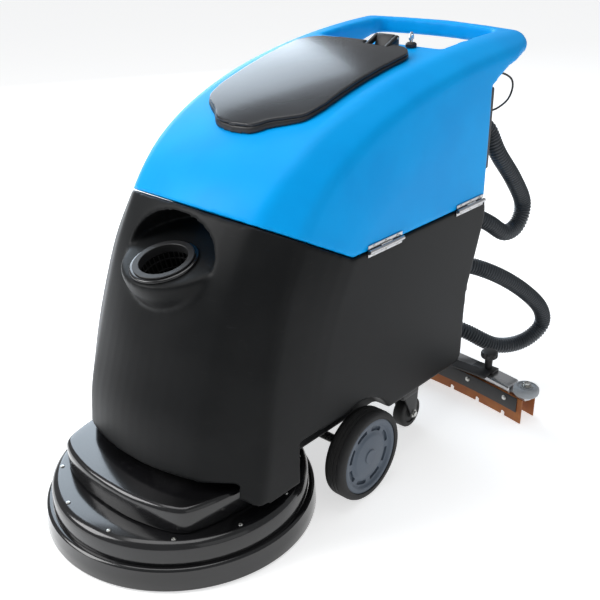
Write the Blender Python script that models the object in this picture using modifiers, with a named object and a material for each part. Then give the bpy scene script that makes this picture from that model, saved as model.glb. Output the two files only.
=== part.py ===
# Walk-behind battery floor scrubber: single disc brush deck, lower solution tank, tipping recovery
# tank with a moulded handle, two main wheels, two castors and a curved squeegee.
# Metres, +Z up, front towards -Y, the operator's left towards +X, floor at z = 0.
import math

import bmesh
import bpy
from mathutils import Matrix, Vector

# Driving dimensions. Y is counted from the brush's centre and moved to the middle of the object at the end.
centre_shift = 0.3225       # brush centre to the middle of the whole length
half_width = 0.260          # moulded body, half its width
rear_wall = 0.702           # back of the recovery tank
seam_height = 0.545         # split between the two tanks along the sides
seam_start = 0.235          # where the split starts to climb towards the front
seam_slope = 0.525          # its climb
seam_gap = 0.002            # gap between the two tanks
wall = 0.006                # moulded wall
gap = 0.0004                # between pieces that touch

deck_radius = 0.262
skirt_radius = 0.280
deck_top = 0.095
tier_top = 0.150

wheel_radius = 0.0994
wheel_width = 0.048
wheel_face = 0.292          # outer face of a drive wheel
wheel_y = 0.266
castor_radius = 0.0385
castor_x, castor_y, castor_trail = 0.186, 0.518, 0.028

squeegee_y = 0.800          # middle of the squeegee
squeegee_half = 0.400       # half the blades' width
squeegee_bow = 0.30         # how fast its ends come forward
arm_pivot = (0.640, 0.140)  # y, z of the squeegee arm's pivot

hose_radius = 0.0205
hinge_x, hinge_z = 0.2655, 0.5465
lid_pivot = (0.594, 0.886)  # y, z of the lid's pivot
lid_hinge_x = 0.055         # the lid's hinge sits left of the middle

# Stations up the front and back over the top: y and z of the crease beside the front face, y and z of
# the crease beside the side, half the face's width, how far the face bulges at its middle, and half the
# width across the side creases.
stations = [
    (-0.101, 0.175, -0.030, 0.122, 0.155, 0.028, 0.259), (-0.090, 0.260, -0.010, 0.238, 0.156, 0.030, 0.257),
    (-0.062, 0.345, 0.008, 0.338, 0.158, 0.031, 0.250), (-0.030, 0.435, 0.035, 0.430, 0.161, 0.031, 0.246),
    (0.012, 0.535, 0.070, 0.525, 0.165, 0.030, 0.241), (0.068, 0.630, 0.118, 0.608, 0.169, 0.027, 0.236),
    (0.110, 0.685, 0.156, 0.659, 0.172, 0.023, 0.236), (0.165, 0.731, 0.207, 0.705, 0.178, 0.017, 0.239),
    (0.235, 0.773, 0.276, 0.746, 0.180, 0.010, 0.241), (0.330, 0.808, 0.361, 0.783, 0.185, 0.004, 0.245),
    (0.453, 0.840, 0.470, 0.815, 0.189, 0.0, 0.249), (0.600, 0.864, 0.610, 0.840, 0.196, 0.0, 0.253),
    (0.770, 0.879, 0.775, 0.857, 0.205, 0.0, 0.257), (0.950, 0.885, 0.950, 0.863, 0.215, 0.0, 0.259),
]
side_run = 0.14             # band over which the sides spread from those creases to the full width

looks = {
    "blue_plastic": ((0.0, 0.36, 0.83), 0.38, 0.0), "body_plastic": ((0.018, 0.018, 0.020), 0.55, 0.0),
    "gloss_black": ((0.012, 0.012, 0.014), 0.18, 0.0), "lid_plastic": ((0.03, 0.031, 0.034), 0.15, 0.0),
    "black_trim": ((0.02, 0.02, 0.02), 0.5, 0.0), "hose_plastic": ((0.03, 0.03, 0.035), 0.5, 0.0),
    "rubber": ((0.015, 0.015, 0.016), 0.7, 0.0), "wheel_grey": ((0.42, 0.46, 0.52), 0.4, 0.0),
    "bumper_grey": ((0.35, 0.36, 0.37), 0.6, 0.0), "blade_rubber": ((0.45, 0.10, 0.03), 0.6, 0.0),
    "bristles": ((0.05, 0.05, 0.06), 0.8, 0.0), "steel": ((0.6, 0.6, 0.62), 0.3, 1.0),
    "painted_steel": ((0.02, 0.02, 0.02), 0.45, 0.0), "battery_case": ((0.10, 0.10, 0.11), 0.5, 0.0),
    "motor_grey": ((0.25, 0.26, 0.27), 0.45, 0.6), "switch_red": ((0.55, 0.03, 0.02), 0.4, 0.0),
    "gauge": ((0.08, 0.12, 0.10), 0.2, 0.0),
}

for old in list(bpy.data.objects):
    bpy.data.objects.remove(old)
parts = bpy.data.collections.new("floor_scrubber")
cutters = bpy.data.collections.new("cutters")
bpy.context.scene.collection.children.link(parts)
bpy.context.scene.collection.children.link(cutters)


# ---- helpers
def finish(name):
    """The material of one look."""
    colour, roughness, metallic = looks[name]
    surface = bpy.data.materials.get(name) or bpy.data.materials.new(name)
    surface.use_nodes = True
    shader = surface.node_tree.nodes["Principled BSDF"]
    shader.inputs["Base Color"].default_value = (*colour, 1)
    shader.inputs["Roughness"].default_value = roughness
    shader.inputs["Metallic"].default_value = metallic
    return surface


def piece_of(name, mesh, look=None):
    """An object in the parts collection, or a cutter when it has no look."""
    piece = bpy.data.objects.new(name, mesh)
    (parts if look else cutters).objects.link(piece)
    if look:
        mesh.materials.append(finish(look))
    else:
        piece.hide_render = True
        piece.display_type = "WIRE"
    return piece


def solid(name, shape, look=None, smooth_angle=35):
    """A mesh object from a bmesh."""
    mesh = bpy.data.meshes.new(name)
    shape.to_mesh(mesh)
    shape.free()
    mesh.shade_smooth()
    mesh.set_sharp_from_angle(angle=math.radians(smooth_angle))
    return piece_of(name, mesh, look)


def soften(piece, width, steps=2, angle=40):
    """Rounded edges."""
    bevel = piece.modifiers.new("rounded edges", "BEVEL")
    bevel.width = width
    bevel.segments = steps
    bevel.limit_method = "ANGLE"
    bevel.angle_limit = math.radians(angle)
    return piece


def box(name, low, high, look=None, rounded=0.0, steps=2):
    shape = bmesh.new()
    bmesh.ops.create_cube(shape, size=1.0)
    low, high = Vector(low), Vector(high)
    bmesh.ops.scale(shape, vec=high - low, verts=shape.verts)
    bmesh.ops.translate(shape, vec=(low + high) / 2, verts=shape.verts)
    piece = solid(name, shape, look)
    return soften(piece, rounded, steps) if rounded else piece


def rod(name, start, end, radius, look=None, end_radius=None, sides=28):
    """A cylinder or cone between two points."""
    start, end = Vector(start), Vector(end)
    shape = bmesh.new()
    bmesh.ops.create_cone(shape, cap_ends=True, segments=sides, radius1=radius,
                          radius2=radius if end_radius is None else end_radius, depth=(end - start).length)
    turn = (end - start).to_track_quat("Z", "Y").to_matrix().to_4x4()
    bmesh.ops.transform(shape, matrix=Matrix.Translation((start + end) / 2) @ turn, verts=shape.verts)
    return solid(name, shape, look)


def turned(name, profile, centre, look=None, axis="Z", steps=40, ring=False):
    """A turned solid from (radius, height) points that run down its outer side."""
    mesh = bpy.data.meshes.new(name)
    count = len(profile)
    edges = [(i, i + 1) for i in range(count - 1)] + ([(count - 1, 0)] if ring else [])
    mesh.from_pydata([(radius, 0, height) for radius, height in profile], edges, [])
    piece = piece_of(name, mesh, look)
    screw = piece.modifiers.new("turn", "SCREW")
    screw.steps = screw.render_steps = steps
    screw.use_merge_vertices = True
    screw.merge_threshold = 0.00001
    screw.use_smooth_shade = True
    piece.location = centre
    if axis == "X":
        piece.rotation_euler = (0, math.pi / 2, 0)
    if axis == "-X":
        piece.rotation_euler = (0, -math.pi / 2, 0)
    return piece


def loft(name, rings, look=None):
    """A closed solid through rings with the same number of points."""
    shape = bmesh.new()
    rows = [[shape.verts.new(point) for point in ring] for ring in rings]
    for row, following in zip(rows, rows[1:]):
        for i in range(len(row)):
            shape.faces.new((row[i - 1], row[i], following[i], following[i - 1]))
    bmesh.ops.triangulate(shape, faces=shape.faces)
    shape.faces.new(rows[0])
    shape.faces.new(rows[-1])
    bmesh.ops.recalc_face_normals(shape, faces=shape.faces)
    return solid(name, shape, look)


def prism(name, outline, axis, start, end, look=None):
    """A flat outline made thick along X, Y or Z. The outline gives the other two axes in order."""
    curve = bpy.data.curves.new(name, "CURVE")
    curve.dimensions = "2D"
    curve.fill_mode = "BOTH"
    curve.extrude = (end - start) / 2
    line = curve.splines.new("POLY")
    line.points.add(len(outline) - 1)
    for point, (u, v) in zip(line.points, outline):
        point.co = (u, v, 0, 1)
    line.use_cyclic_u = True
    sketch = bpy.data.objects.new(name + " sketch", curve)
    cutters.objects.link(sketch)
    bpy.context.view_layer.update()
    mesh = bpy.data.meshes.new_from_object(sketch.evaluated_get(bpy.context.evaluated_depsgraph_get()))
    bpy.data.objects.remove(sketch)
    middle = (start + end) / 2
    turn = {"X": Matrix(((0, 0, 1, middle), (1, 0, 0, 0), (0, 1, 0, 0), (0, 0, 0, 1))),
            "Y": Matrix(((1, 0, 0, 0), (0, 0, 1, middle), (0, 1, 0, 0), (0, 0, 0, 1))),
            "Z": Matrix(((1, 0, 0, 0), (0, 1, 0, 0), (0, 0, 1, middle), (0, 0, 0, 1)))}[axis]
    mesh.transform(turn)
    shape = bmesh.new()
    shape.from_mesh(mesh)
    bmesh.ops.remove_doubles(shape, verts=shape.verts, dist=0.00001)
    bmesh.ops.recalc_face_normals(shape, faces=shape.faces)
    return solid(name, shape, look)


def smooth(points, steps):
    """A smooth curve through points of any dimension, with so many steps between each two."""
    curve = []
    for i in range(len(points) - 1):
        p1, p2 = points[i], points[i + 1]
        p0 = points[i - 1] if i else [2 * a - b for a, b in zip(p1, p2)]
        p3 = points[i + 2] if i + 2 < len(points) else [2 * b - a for a, b in zip(p1, p2)]
        for k in range(steps):
            t = k / steps
            curve.append([0.5 * (2 * b + (c - a) * t + (2 * a - 5 * b + 4 * c - d) * t ** 2
                                 + (3 * b - a - 3 * c + d) * t ** 3) for a, b, c, d in zip(p0, p1, p2, p3)])
    return curve + [list(points[-1])]


def tube(name, route, radius, look, steps=5, sides=2):
    """A round tube along a smooth curve through the route."""
    curve = bpy.data.curves.new(name, "CURVE")
    curve.dimensions = "3D"
    curve.bevel_depth = radius
    curve.bevel_resolution = sides
    curve.use_fill_caps = True
    line = curve.splines.new("POLY")
    points = smooth(route, steps)
    line.points.add(len(points) - 1)
    for point, place in zip(line.points, points):
        point.co = (*place, 1)
    curve.materials.append(finish(look))
    piece = bpy.data.objects.new(name, curve)
    parts.objects.link(piece)
    return piece


def solid_tube(name, route, radius, steps=4):
    """The same tube as a welded mesh, to be joined to another piece."""
    piece = tube(name, route, radius, "steel", steps)
    bpy.context.view_layer.update()
    mesh = bpy.data.meshes.new_from_object(piece.evaluated_get(bpy.context.evaluated_depsgraph_get()))
    bpy.data.objects.remove(piece)
    mesh.materials.clear()
    shape = bmesh.new()
    shape.from_mesh(mesh)
    bmesh.ops.remove_doubles(shape, verts=shape.verts, dist=0.00001)
    bmesh.ops.recalc_face_normals(shape, faces=shape.faces)
    return solid(name, shape)


def combine(piece, other, operation):
    """A Boolean step; the other object becomes a cutter."""
    step = piece.modifiers.new(operation.lower() + " " + other.name, "BOOLEAN")
    step.operation = operation
    step.object = other
    step.solver = "EXACT"
    return piece


def cut(piece, *others):
    for other in others:
        combine(piece, other, "DIFFERENCE")
    return piece


def join(piece, *others):
    for other in others:
        combine(piece, other, "UNION")
    return piece


def hang(piece, pivot):
    """The piece's origin goes to its pivot, and the piece stays where it is."""
    piece.data.transform(Matrix.Translation(-Vector(pivot)))
    piece.location = pivot
    return piece


def arc(centre, radius, start, end, count):
    """Points of a circular arc, angles in degrees."""
    angles = [math.radians(start + (end - start) * i / (count - 1)) for i in range(count)]
    return [(centre[0] + radius * math.cos(a), centre[1] + radius * math.sin(a)) for a in angles]


def mirrored(half):
    """A closed outline from its +X half, given from the front to the back."""
    return half + [(-x, y) for x, y in reversed(half) if x > 0]


# ---- moulded shell shared by both tanks
def moulding(name, inset=0.0, look=None):
    """The whole outer form, bottom to handle, before it is split; inset shrinks it by a wall."""
    rows = smooth(stations, 2)
    low = stations[0][3] + inset

    def ring(x_of, place_of, bulge_of, run=0.0):
        points = []
        for i, row in enumerate(rows):
            here = Vector(place_of(row))
            ahead = Vector(place_of(rows[min(i + 1, len(rows) - 1)]))
            behind = Vector(place_of(rows[max(i - 1, 0)]))
            along = (ahead - behind).normalized()
            inward = Vector((along[1], -along[0])) * (inset + run)
            y, z = here + inward - Vector((bulge_of(row), 0))
            points.append((x_of(row), y, max(z, low)))
        points.append((x_of(rows[-1]), stations[-1][0], low))
        points.append((x_of(rows[0]), 0.3, low))
        return points

    rings = [ring(lambda r: inset - half_width, lambda r: r[2:4], lambda r: 0, side_run),
             ring(lambda r: inset - r[6], lambda r: r[2:4], lambda r: 0)]
    for share in (-1, -0.5, 0, 0.5, 1):
        rings.append(ring(lambda r, s=share: s * (r[4] - inset * 0.4), lambda r: r[0:2],
                          lambda r, s=share: r[5] * (1 - s * s)))
    rings.append(ring(lambda r: r[6] - inset, lambda r: r[2:4], lambda r: 0))
    rings.append(ring(lambda r: half_width - inset, lambda r: r[2:4], lambda r: 0, side_run))
    return loft(name, rings, look)


def top_height(y, x=0.0):
    """Height of the top face over a place."""
    line = [(row[0] - row[5] * (1 - (x / row[4]) ** 2), row[1]) for row in smooth(stations, 8)]
    for (y0, z0), (y1, z1) in zip(line, line[1:]):
        if y0 <= y <= y1:
            return z0 + (z1 - z0) * (y - y0) / (y1 - y0)
    return line[-1][1]


def seam(offset, upper):
    """A prism that holds everything above the split, or everything below it."""
    front = -0.30
    climb = seam_height + (seam_start - front) * seam_slope
    edge = [(front, climb + offset), (seam_start, seam_height + offset), (1.1, seam_height + offset)]
    rest = [(1.1, 1.2), (front, 1.2)] if upper else [(1.1, -0.1), (front, -0.1)]
    return prism("seam " + ("above" if upper else "below"), edge + rest, "X", -0.5, 0.5)


# ---- lower body
filler_centre = Vector((0.0, -0.006, 0.545))
filler_tilt = math.radians(16)
filler_axis = Vector((0, -math.sin(filler_tilt), math.cos(filler_tilt)))
filler_hole = 0.0565
filler_depth = 0.125
bay_low = Vector((-0.205, 0.125, 0.235))
bay_high = Vector((0.205, 0.652, 0.700))


def lower_body():
    """The black solution tank that is also the machine's body."""
    body = moulding("lower_body", look="body_plastic")
    cut(body, seam(-seam_gap / 2, True))
    rear = [(rear_wall, 0.60), (0.712, 0.500), (0.656, 0.335), (0.652, 0.172), (0.640, 0.155), (0.640, 0.05),
            (1.1, 0.05), (1.1, 0.60)]
    cut(body, prism("rear slope", rear, "X", -0.5, 0.5))
    cut(body, box("over the deck", (-0.221, -0.3, 0.05), (0.221, 0.122, 0.171)))
    cut(body, box("behind the deck", (-0.4, 0.082, 0.05), (0.4, 0.8, 0.1584)))
    for side in (-1, 1):
        well = [(0.080, 0.05), (0.080, 0.214)] + arc((wheel_y, wheel_radius), 0.118, 110, 20, 7)
        well += [(wheel_y + 0.118, 0.05)]
        low, high = sorted((side * 0.222, side * 0.4))
        cut(body, prism("wheel well", well, "X", low, high))
    pocket = turned("filler pocket", [(0, 0.012), (0.118, 0.012), (0.120, 0.004), (0.118, -0.02), (0.098, -0.08),
                                      (0.066, -0.130), (0.03, -0.150), (0, -0.154)],
                    (0, 0.040, filler_centre.z), steps=36)
    pocket.rotation_euler = (filler_tilt, 0, 0)
    join(body, pocket)
    arch = turned("filler arch", [(0, 0.070), (0.04, 0.066), (0.078, 0.051), (0.105, 0.028), (0.116, 0.0)]
                  + [(0.0, 0.0)], (0, 0.034, filler_centre.z + 0.010), steps=36)
    arch.rotation_euler = (filler_tilt, 0, 0)
    cut(body, arch)
    top = filler_centre + filler_axis * 0.06
    cut(body, rod("filler hole", top, filler_centre - filler_axis * filler_depth, filler_hole, sides=32))
    cut(body, rod("motor pocket", (0, 0, 0.05), (0, 0, 0.352), 0.0765, sides=32))
    cut(body, box("battery bay", bay_low, bay_high))


def filler():
    """The ring pressed into the filler and the strainer basket that lifts out."""
    tilt = (filler_tilt, 0, 0)
    seat = filler_centre + filler_axis * 0.0036
    ring = turned("filler_ring", [(0.0665, 0.0), (0.0675, -0.004), (0.0675, -0.0045), (filler_hole - gap, -0.0045),
                                  (filler_hole - gap, -0.022), (0.0530, -0.022), (0.0530, 0.0)],
                  seat, "gloss_black", steps=28, ring=True)
    ring.rotation_euler = tilt
    rim, floor = 0.0525, 0.043
    basket = turned("filler_strainer", [(0, -0.092), (floor - 0.003, -0.092), (rim - 0.005, -0.03),
                                        (rim - 0.005, 0.0035), (0.0600, 0.0035), (0.0600, 0.0005),
                                        (rim - 0.0005, 0.0005), (rim - 0.002, -0.03), (floor, -0.095), (0, -0.095)],
                    seat, "black_trim", steps=24)
    basket.rotation_euler = tilt


# ---- recovery tank
handle_rear = 0.925
bar_depth = 0.031
bar_half = 0.165
console_front = 0.638       # where the top drops towards the rear panel, between the handle's rails


def recovery_tank():
    """The blue upper tank with the handle moulded on it."""
    tank = moulding("recovery_tank", look="blue_plastic")
    cut(tank, seam(seam_gap / 2, False))
    under = [(rear_wall, 0.2), (rear_wall, 0.792), (0.770, 0.824), (0.860, 0.846), (1.1, 0.846), (1.1, 0.2)]
    cut(tank, prism("under the handle", under, "X", -0.5, 0.5))
    corner = arc((0.195, 0.835), 0.0555, 90, 10, 7)
    outside = [(0.45, 0.78), (half_width + 0.001, 0.78)] + corner[::-1] + [(0.12, 0.908), (0, handle_rear)]
    outside += [(-x, y) for x, y in reversed(outside[:-1])] + [(-0.45, 1.1), (0.45, 1.1)]
    cut(tank, prism("around the handle", outside, "Z", 0.7, 1.0))
    gap_rear = handle_rear - bar_depth
    loop = [(bar_half, 0.715)] + arc((bar_half - 0.035, 0.838), 0.035, 0, 70, 5)
    loop += [(0.07, gap_rear - 0.006), (0, gap_rear)]
    cut(tank, prism("handle gap", mirrored(loop), "Z", 0.7, 1.0))
    slope = [(console_front, 0.95), (console_front, 0.864), (0.654, 0.857), (0.7005, 0.797), (0.712, 0.780),
             (0.720, 0.95)]
    cut(tank, prism("console slope", slope, "X", 0.0005 - bar_half, bar_half - 0.0005))

    hollow = moulding("tank hollow", wall)
    cut(hollow, seam(seam_gap / 2 + wall, False))
    cut(hollow, box("behind the hollow", (-0.5, rear_wall - wall, 0), (0.5, 1.2, 1.2)))
    under_slope = [(console_front - wall, 0.95), (console_front - wall, 0.858), (0.649, 0.851), (0.697, 0.789),
                   (0.720, 0.760), (0.720, 0.95)]
    cut(hollow, prism("under the slope", under_slope, "X", -bar_half - wall, bar_half + wall))
    cut(tank, hollow)
    cut(tank, prism("lid opening", lid_outline(-0.016), "Z", 0.60, 1.0))
    hang(tank, (hinge_x, 0, hinge_z))


def lid_outline(grow):
    """The lid seen from above: a narrow rounded nose, wavy shoulders and rounded rear corners."""
    half = smooth([(0.0, 0.180), (0.046, 0.187), (0.075, 0.209), (0.103, 0.226), (0.130, 0.248), (0.142, 0.290)],
                  2)
    half += arc((0.104, 0.527), 0.046, 0, 90, 5)
    middle = 0.38
    points = []
    for x, y in half:
        length = math.hypot(x, y - middle)
        points.append((x * (1 + grow / length), middle + (y - middle) * (1 + grow / length)))
    return mirrored([(max(x, 0), y) for x, y in points])


def lid():
    """The domed lid that follows the tank's top, with its hinge ears."""
    low, high, crown = 0.0012, 0.0135, 0.007
    rings = []
    for x in (-0.16, -0.105, -0.05, 0, 0.05, 0.105, 0.16):
        rise = high + crown * (1 - (x / 0.16) ** 2)
        ys = [0.155 + 0.44 * i / 13 for i in range(14)]
        rings.append([(x, y, top_height(y, x) + low) for y in ys] +
                     [(x, y, top_height(y, x) + rise) for y in reversed(ys)])
    cover = loft("lid", rings, "lid_plastic")
    combine(cover, prism("lid plan", lid_outline(0), "Z", 0.5, 1.2), "INTERSECT")
    cut(cover, box("hinge notch", (lid_hinge_x - 0.034, 0.553, 0.5), (lid_hinge_x + 0.034, 0.7, 1.2)))
    for x in (lid_hinge_x - 0.0255, lid_hinge_x + 0.0255):
        ear = [(0.540, top_height(0.54) + 0.006), (0.552, top_height(0.55) + 0.006)]
        ear += arc(lid_pivot, 0.0068, -100, 100, 7) + [(0.545, top_height(0.54) + 0.0185)]
        inner, outer = sorted((x - 0.0045, x + 0.0045))
        join(cover, prism("lid ear", ear, "X", inner, outer))
    cut(cover, rod("ear bore", (0, *lid_pivot), (0.12, *lid_pivot), 0.0031, sides=12))
    hang(cover, (lid_hinge_x, *lid_pivot))


def lid_hinge():
    """The dark hinge block on the tank, with the pin that the lid's ears turn on."""
    y, z = lid_pivot
    block = [(0.5755, top_height(0.5755) + gap), (0.612, top_height(0.612) + gap), (0.612, z - 0.004)]
    block += arc(lid_pivot, 0.0075, 10, 150, 6) + [(0.5830, z - 0.006)]
    base = prism("lid_hinge_block", block, "X", lid_hinge_x - 0.0205, lid_hinge_x + 0.0205, "black_trim")
    join(base, rod("lid pin", (lid_hinge_x - 0.031, y, z), (lid_hinge_x + 0.031, y, z), 0.0028, sides=12))


def control_panel():
    """The black panel across the back of the tank, with its switches, gauge, key and water knob."""
    y0, y1 = rear_wall + gap, rear_wall + 0.032
    panel = box("control_panel", (-0.246, y0, 0.604), (0.246, y1, 0.786), "black_trim", 0.006)
    for x in (-0.155, -0.105):
        cut(panel, box("switch recess", (x - 0.0125, y1 - 0.010, 0.690), (x + 0.0125, y1 + 0.02, 0.730)))
    cut(panel, rod("knob bore", (0.055, y1 - 0.012, 0.700), (0.055, y1 + 0.02, 0.700), 0.0055, sides=20))
    cut(panel, box("gauge recess", (-0.0405, y1 - 0.004, 0.6895), (0.0105, y1 + 0.02, 0.7305)))
    box("battery_gauge", (-0.040, y1 - 0.0036, 0.690), (0.010, y1 + 0.0016, 0.730), "gauge", 0.002)
    for name, x, look in (("brush_switch", -0.155, "switch_red"), ("vacuum_switch", -0.105, "black_trim")):
        rocker = [(y1 - 0.0045, 0.7115), (y1 - 0.0035, 0.7255), (y1 + 0.0062, 0.7275), (y1 + 0.0025, 0.7100),
                  (y1 + 0.0062, 0.6925), (y1 - 0.0035, 0.6945), (y1 - 0.0045, 0.7085)]
        hang(prism(name, rocker, "X", x - 0.0108, x + 0.0108, look), (x, y1 - 0.001, 0.710))
    knob = rod("water_knob", (0.055, y1 + gap, 0.700), (0.055, y1 + 0.022, 0.700), 0.020, "black_trim",
               end_radius=0.017, sides=24)
    join(knob, rod("knob stem", (0.055, y1 - 0.010, 0.700), (0.055, y1 + 0.01, 0.700), 0.0050, sides=16))
    join(knob, box("knob grip", (0.0515, y1 + 0.016, 0.682), (0.0585, y1 + 0.029, 0.718)))
    hang(knob, (0.055, y1 + 0.010, 0.700))


key_place = (0.100, 0.621)


def key_switch():
    """The lock on the top behind the lid and the key that turns in it."""
    x, y = key_place
    z = top_height(y + 0.012) + gap
    turned("key_lock", [(0, 0.009), (0.008, 0.009), (0.012, 0.006), (0.012, 0.0), (0, 0.0)], (x, y, z), "black_trim",
           steps=20)
    z += 0.009 + gap
    key = box("ignition_key", (x - 0.0012, y - 0.009, z + 0.003), (x + 0.0012, y + 0.009, z + 0.021), "steel")
    join(key, rod("key shank", (x, y, z), (x, y, z + 0.010), 0.0035, sides=12))
    hang(key, (x, y, z))


def hinges():
    """The two long steel hinges on the left seam: a body leaf with the pin, and a tank leaf."""
    for name, start, end in (("front", 0.275, 0.385), ("rear", 0.585, 0.692)):
        third = (end - start) / 3
        body_leaf = box(f"hinge_{name}_body", (half_width + gap, start, 0.5345), (half_width + 0.0024, end, 0.5425),
                        "steel")
        bore = rod("pin bore", (hinge_x, start - 0.1, hinge_z), (hinge_x, end + 0.1, hinge_z), 0.0017, sides=12)
        for low, high in ((start, start + third - gap), (end - third + gap, end)):
            join(body_leaf, rod("knuckle", (hinge_x, low, hinge_z), (hinge_x, high, hinge_z), 0.0042, sides=12))
            join(body_leaf, box("leaf tab", (half_width + 0.0006, low, 0.541), (hinge_x, high, hinge_z)))
        join(body_leaf, rod("hinge pin", (hinge_x, start + 0.002, hinge_z), (hinge_x, end - 0.002, hinge_z), 0.0014,
                            sides=12))
        tank_leaf = box(f"hinge_{name}_tank", (half_width + gap, start, 0.5508), (half_width + 0.0024, end, 0.559),
                        "steel")
        low, high = start + third + gap, end - third - gap
        join(tank_leaf, rod("knuckle", (hinge_x, low, hinge_z), (hinge_x, high, hinge_z), 0.0042, sides=12))
        join(tank_leaf, box("leaf tab", (half_width + 0.0006, low, hinge_z), (hinge_x, high, 0.5525)))
        cut(tank_leaf, bore)
        hang(tank_leaf, (hinge_x, 0, hinge_z))


def inside_the_tank():
    """The float cage under the suction outlet."""
    x, y, low, high = -0.12, 0.60, seam_height + seam_gap / 2 + wall + gap, 0.800
    turned("float_cage", [(0, high), (0.034, high), (0.038, high - 0.006), (0.038, high - 0.07), (0.02, high - 0.08),
                          (0.02, low + 0.006), (0.036, low + 0.004), (0.036, low), (0, low)], (x, y, 0),
           "black_trim", steps=20)


# ---- deck and brush
def deck():
    """The glossy brush deck: a round pan with a raised tier, its skirt, motor, hub and brush."""
    pan = turned("deck_housing", [(0, deck_top), (0.246, deck_top), (0.256, deck_top - 0.003),
                                  (deck_radius, deck_top - 0.010), (0.264, 0.050), (0.2590, 0.050),
                                  (0.2565, deck_top - 0.012), (0.250, deck_top - 0.008), (0, deck_top - 0.008)],
                 (0, 0, 0), "gloss_black", steps=44)
    half = [(0, -0.193), (0.06, -0.190), (0.12, -0.178), (0.160, -0.163), (0.182, -0.145), (0.196, -0.108),
            (0.206, -0.06), (0.212, 0.0), (0.214, 0.075), (0.19, 0.115)]
    tier = soften(prism("deck tier", mirrored(half), "Z", deck_top - 0.004, tier_top), 0.012, 2, 50)
    join(pan, tier)
    cut(pan, rod("motor seat", (0, 0, 0.04), (0, 0, 0.3), 0.0722, sides=40))
    hollow = [(x * 0.955, y * 0.955) for x, y in half]
    cut(pan, prism("under the tier", mirrored(hollow), "Z", 0.02, tier_top - 0.006))
    turned("deck_skirt", [(0.2645, 0.0495), (0.2715, 0.0495), (0.2770, 0.0460), (skirt_radius, 0.006), (0.2775, 0.003),
                          (0.2700, 0.003), (0.2645, 0.0430)], (0, 0, 0), "gloss_black", steps=44, ring=True)
    turned("brush_motor", [(0, 0.318), (0.052, 0.318), (0.060, 0.310), (0.062, 0.185), (0.070, 0.175),
                           (0.0718, 0.165), (0.0718, 0.092), (0.05, 0.085), (0, 0.085)], (0, 0, 0), "motor_grey",
           steps=28)


def brush():
    """The drive hub, the brush block and its bristles, which turn together."""
    turned("brush_hub", [(0, 0.0840), (0.020, 0.0840), (0.020, 0.070), (0.062, 0.070), (0.064, 0.0585),
                         (0, 0.0585)], (0, 0, 0), "motor_grey", steps=24)
    turned("brush_block", [(0, 0.0581), (0.05, 0.0581), (0.236, 0.0520), (0.240, 0.046), (0.238, 0.036),
                           (0, 0.036)], (0, 0, 0), "battery_case", steps=32)
    turned("brush_bristles", [(0.234, 0.0356), (0.252, 0.0), (0.090, 0.0), (0.095, 0.0356)], (0, 0, 0), "bristles",
           steps=32, ring=True)


pedal_pivot = (0.610, 0.128)


def deck_pedal():
    """The foot pedal at the back that raises the deck."""
    y, z = pedal_pivot
    lever = solid_tube("pedal arm", [(-0.235, y, z), (-0.235, y + 0.05, z + 0.012), (-0.235, y + 0.100, z + 0.036)],
                       0.007)
    pad = box("lift_pedal", (-0.262, y + 0.082, z + 0.036), (-0.208, y + 0.122, z + 0.050), "rubber", 0.004)
    join(pad, lever, rod("pedal boss", (-0.249, y, z), (-0.221, y, z), 0.012, sides=20))
    cut(pad, rod("boss bore", (-0.3, y, z), (-0.2, y, z), 0.0062, sides=16))
    hang(pad, (-0.235, y, z))


# ---- frame, axle and wheels
def chassis_frame():
    """The welded steel frame under the body, with its axle bearers, castor pads and arm lugs."""
    frame = box("chassis_frame", (-0.150, 0.130, 0.128), (-0.120, 0.636, 0.158), "painted_steel")
    for name, low, high in (("rail", (0.120, 0.130, 0.128), (0.150, 0.636, 0.158)),
                            ("front cross", (-0.150, 0.130, 0.129), (0.150, 0.160, 0.157)),
                            ("middle cross", (-0.150, 0.400, 0.129), (0.150, 0.430, 0.157)),
                            ("castor cross", (-0.215, castor_y - 0.030, 0.1275), (0.215, castor_y + 0.030, 0.1565)),
                            ("rear cross", (-0.150, 0.590, 0.129), (0.150, 0.620, 0.157))):
        join(frame, box(name, low, high))
    for side in (-1, 1):
        low, high = sorted((side * 0.126, side * 0.144))
        bearer = [(wheel_y - 0.05, 0.13), (wheel_y - 0.02, 0.084), (wheel_y + 0.02, 0.084), (wheel_y + 0.05, 0.13)]
        join(frame, prism("axle bearer", bearer, "X", low, high))
        low, high = sorted((side * 0.070, side * 0.082))
        lug = [(0.60, 0.131), (0.60, 0.1545), (0.640, 0.1545)] + arc(arm_pivot, 0.0135, 80, -80, 6)
        join(frame, prism("arm lug", lug, "X", low, high))
    cut(frame, rod("axle bore", (-0.2, wheel_y, wheel_radius), (0.2, wheel_y, wheel_radius), 0.0104, sides=20))
    join(frame, rod("arm shaft", (-0.105, *arm_pivot), (0.105, *arm_pivot), 0.0060, sides=20))
    bearer = [(0.540, 0.1290), (0.540, 0.1560), (0.622, 0.1560), (0.622, 0.1180), (0.578, 0.1180), (0.558, 0.1290)]
    join(frame, prism("pedal bearer", bearer, "X", -0.207, -0.199))
    join(frame, rod("pedal shaft", (-0.256, *pedal_pivot), (-0.200, *pedal_pivot), 0.0058, sides=16))
    for name, side in (("left", 1), ("right", -1)):
        rod(f"wheel_axle_{name}", (side * 0.118, wheel_y, wheel_radius), (side * 0.272, wheel_y, wheel_radius),
            0.0100, "steel", sides=24)


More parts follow.
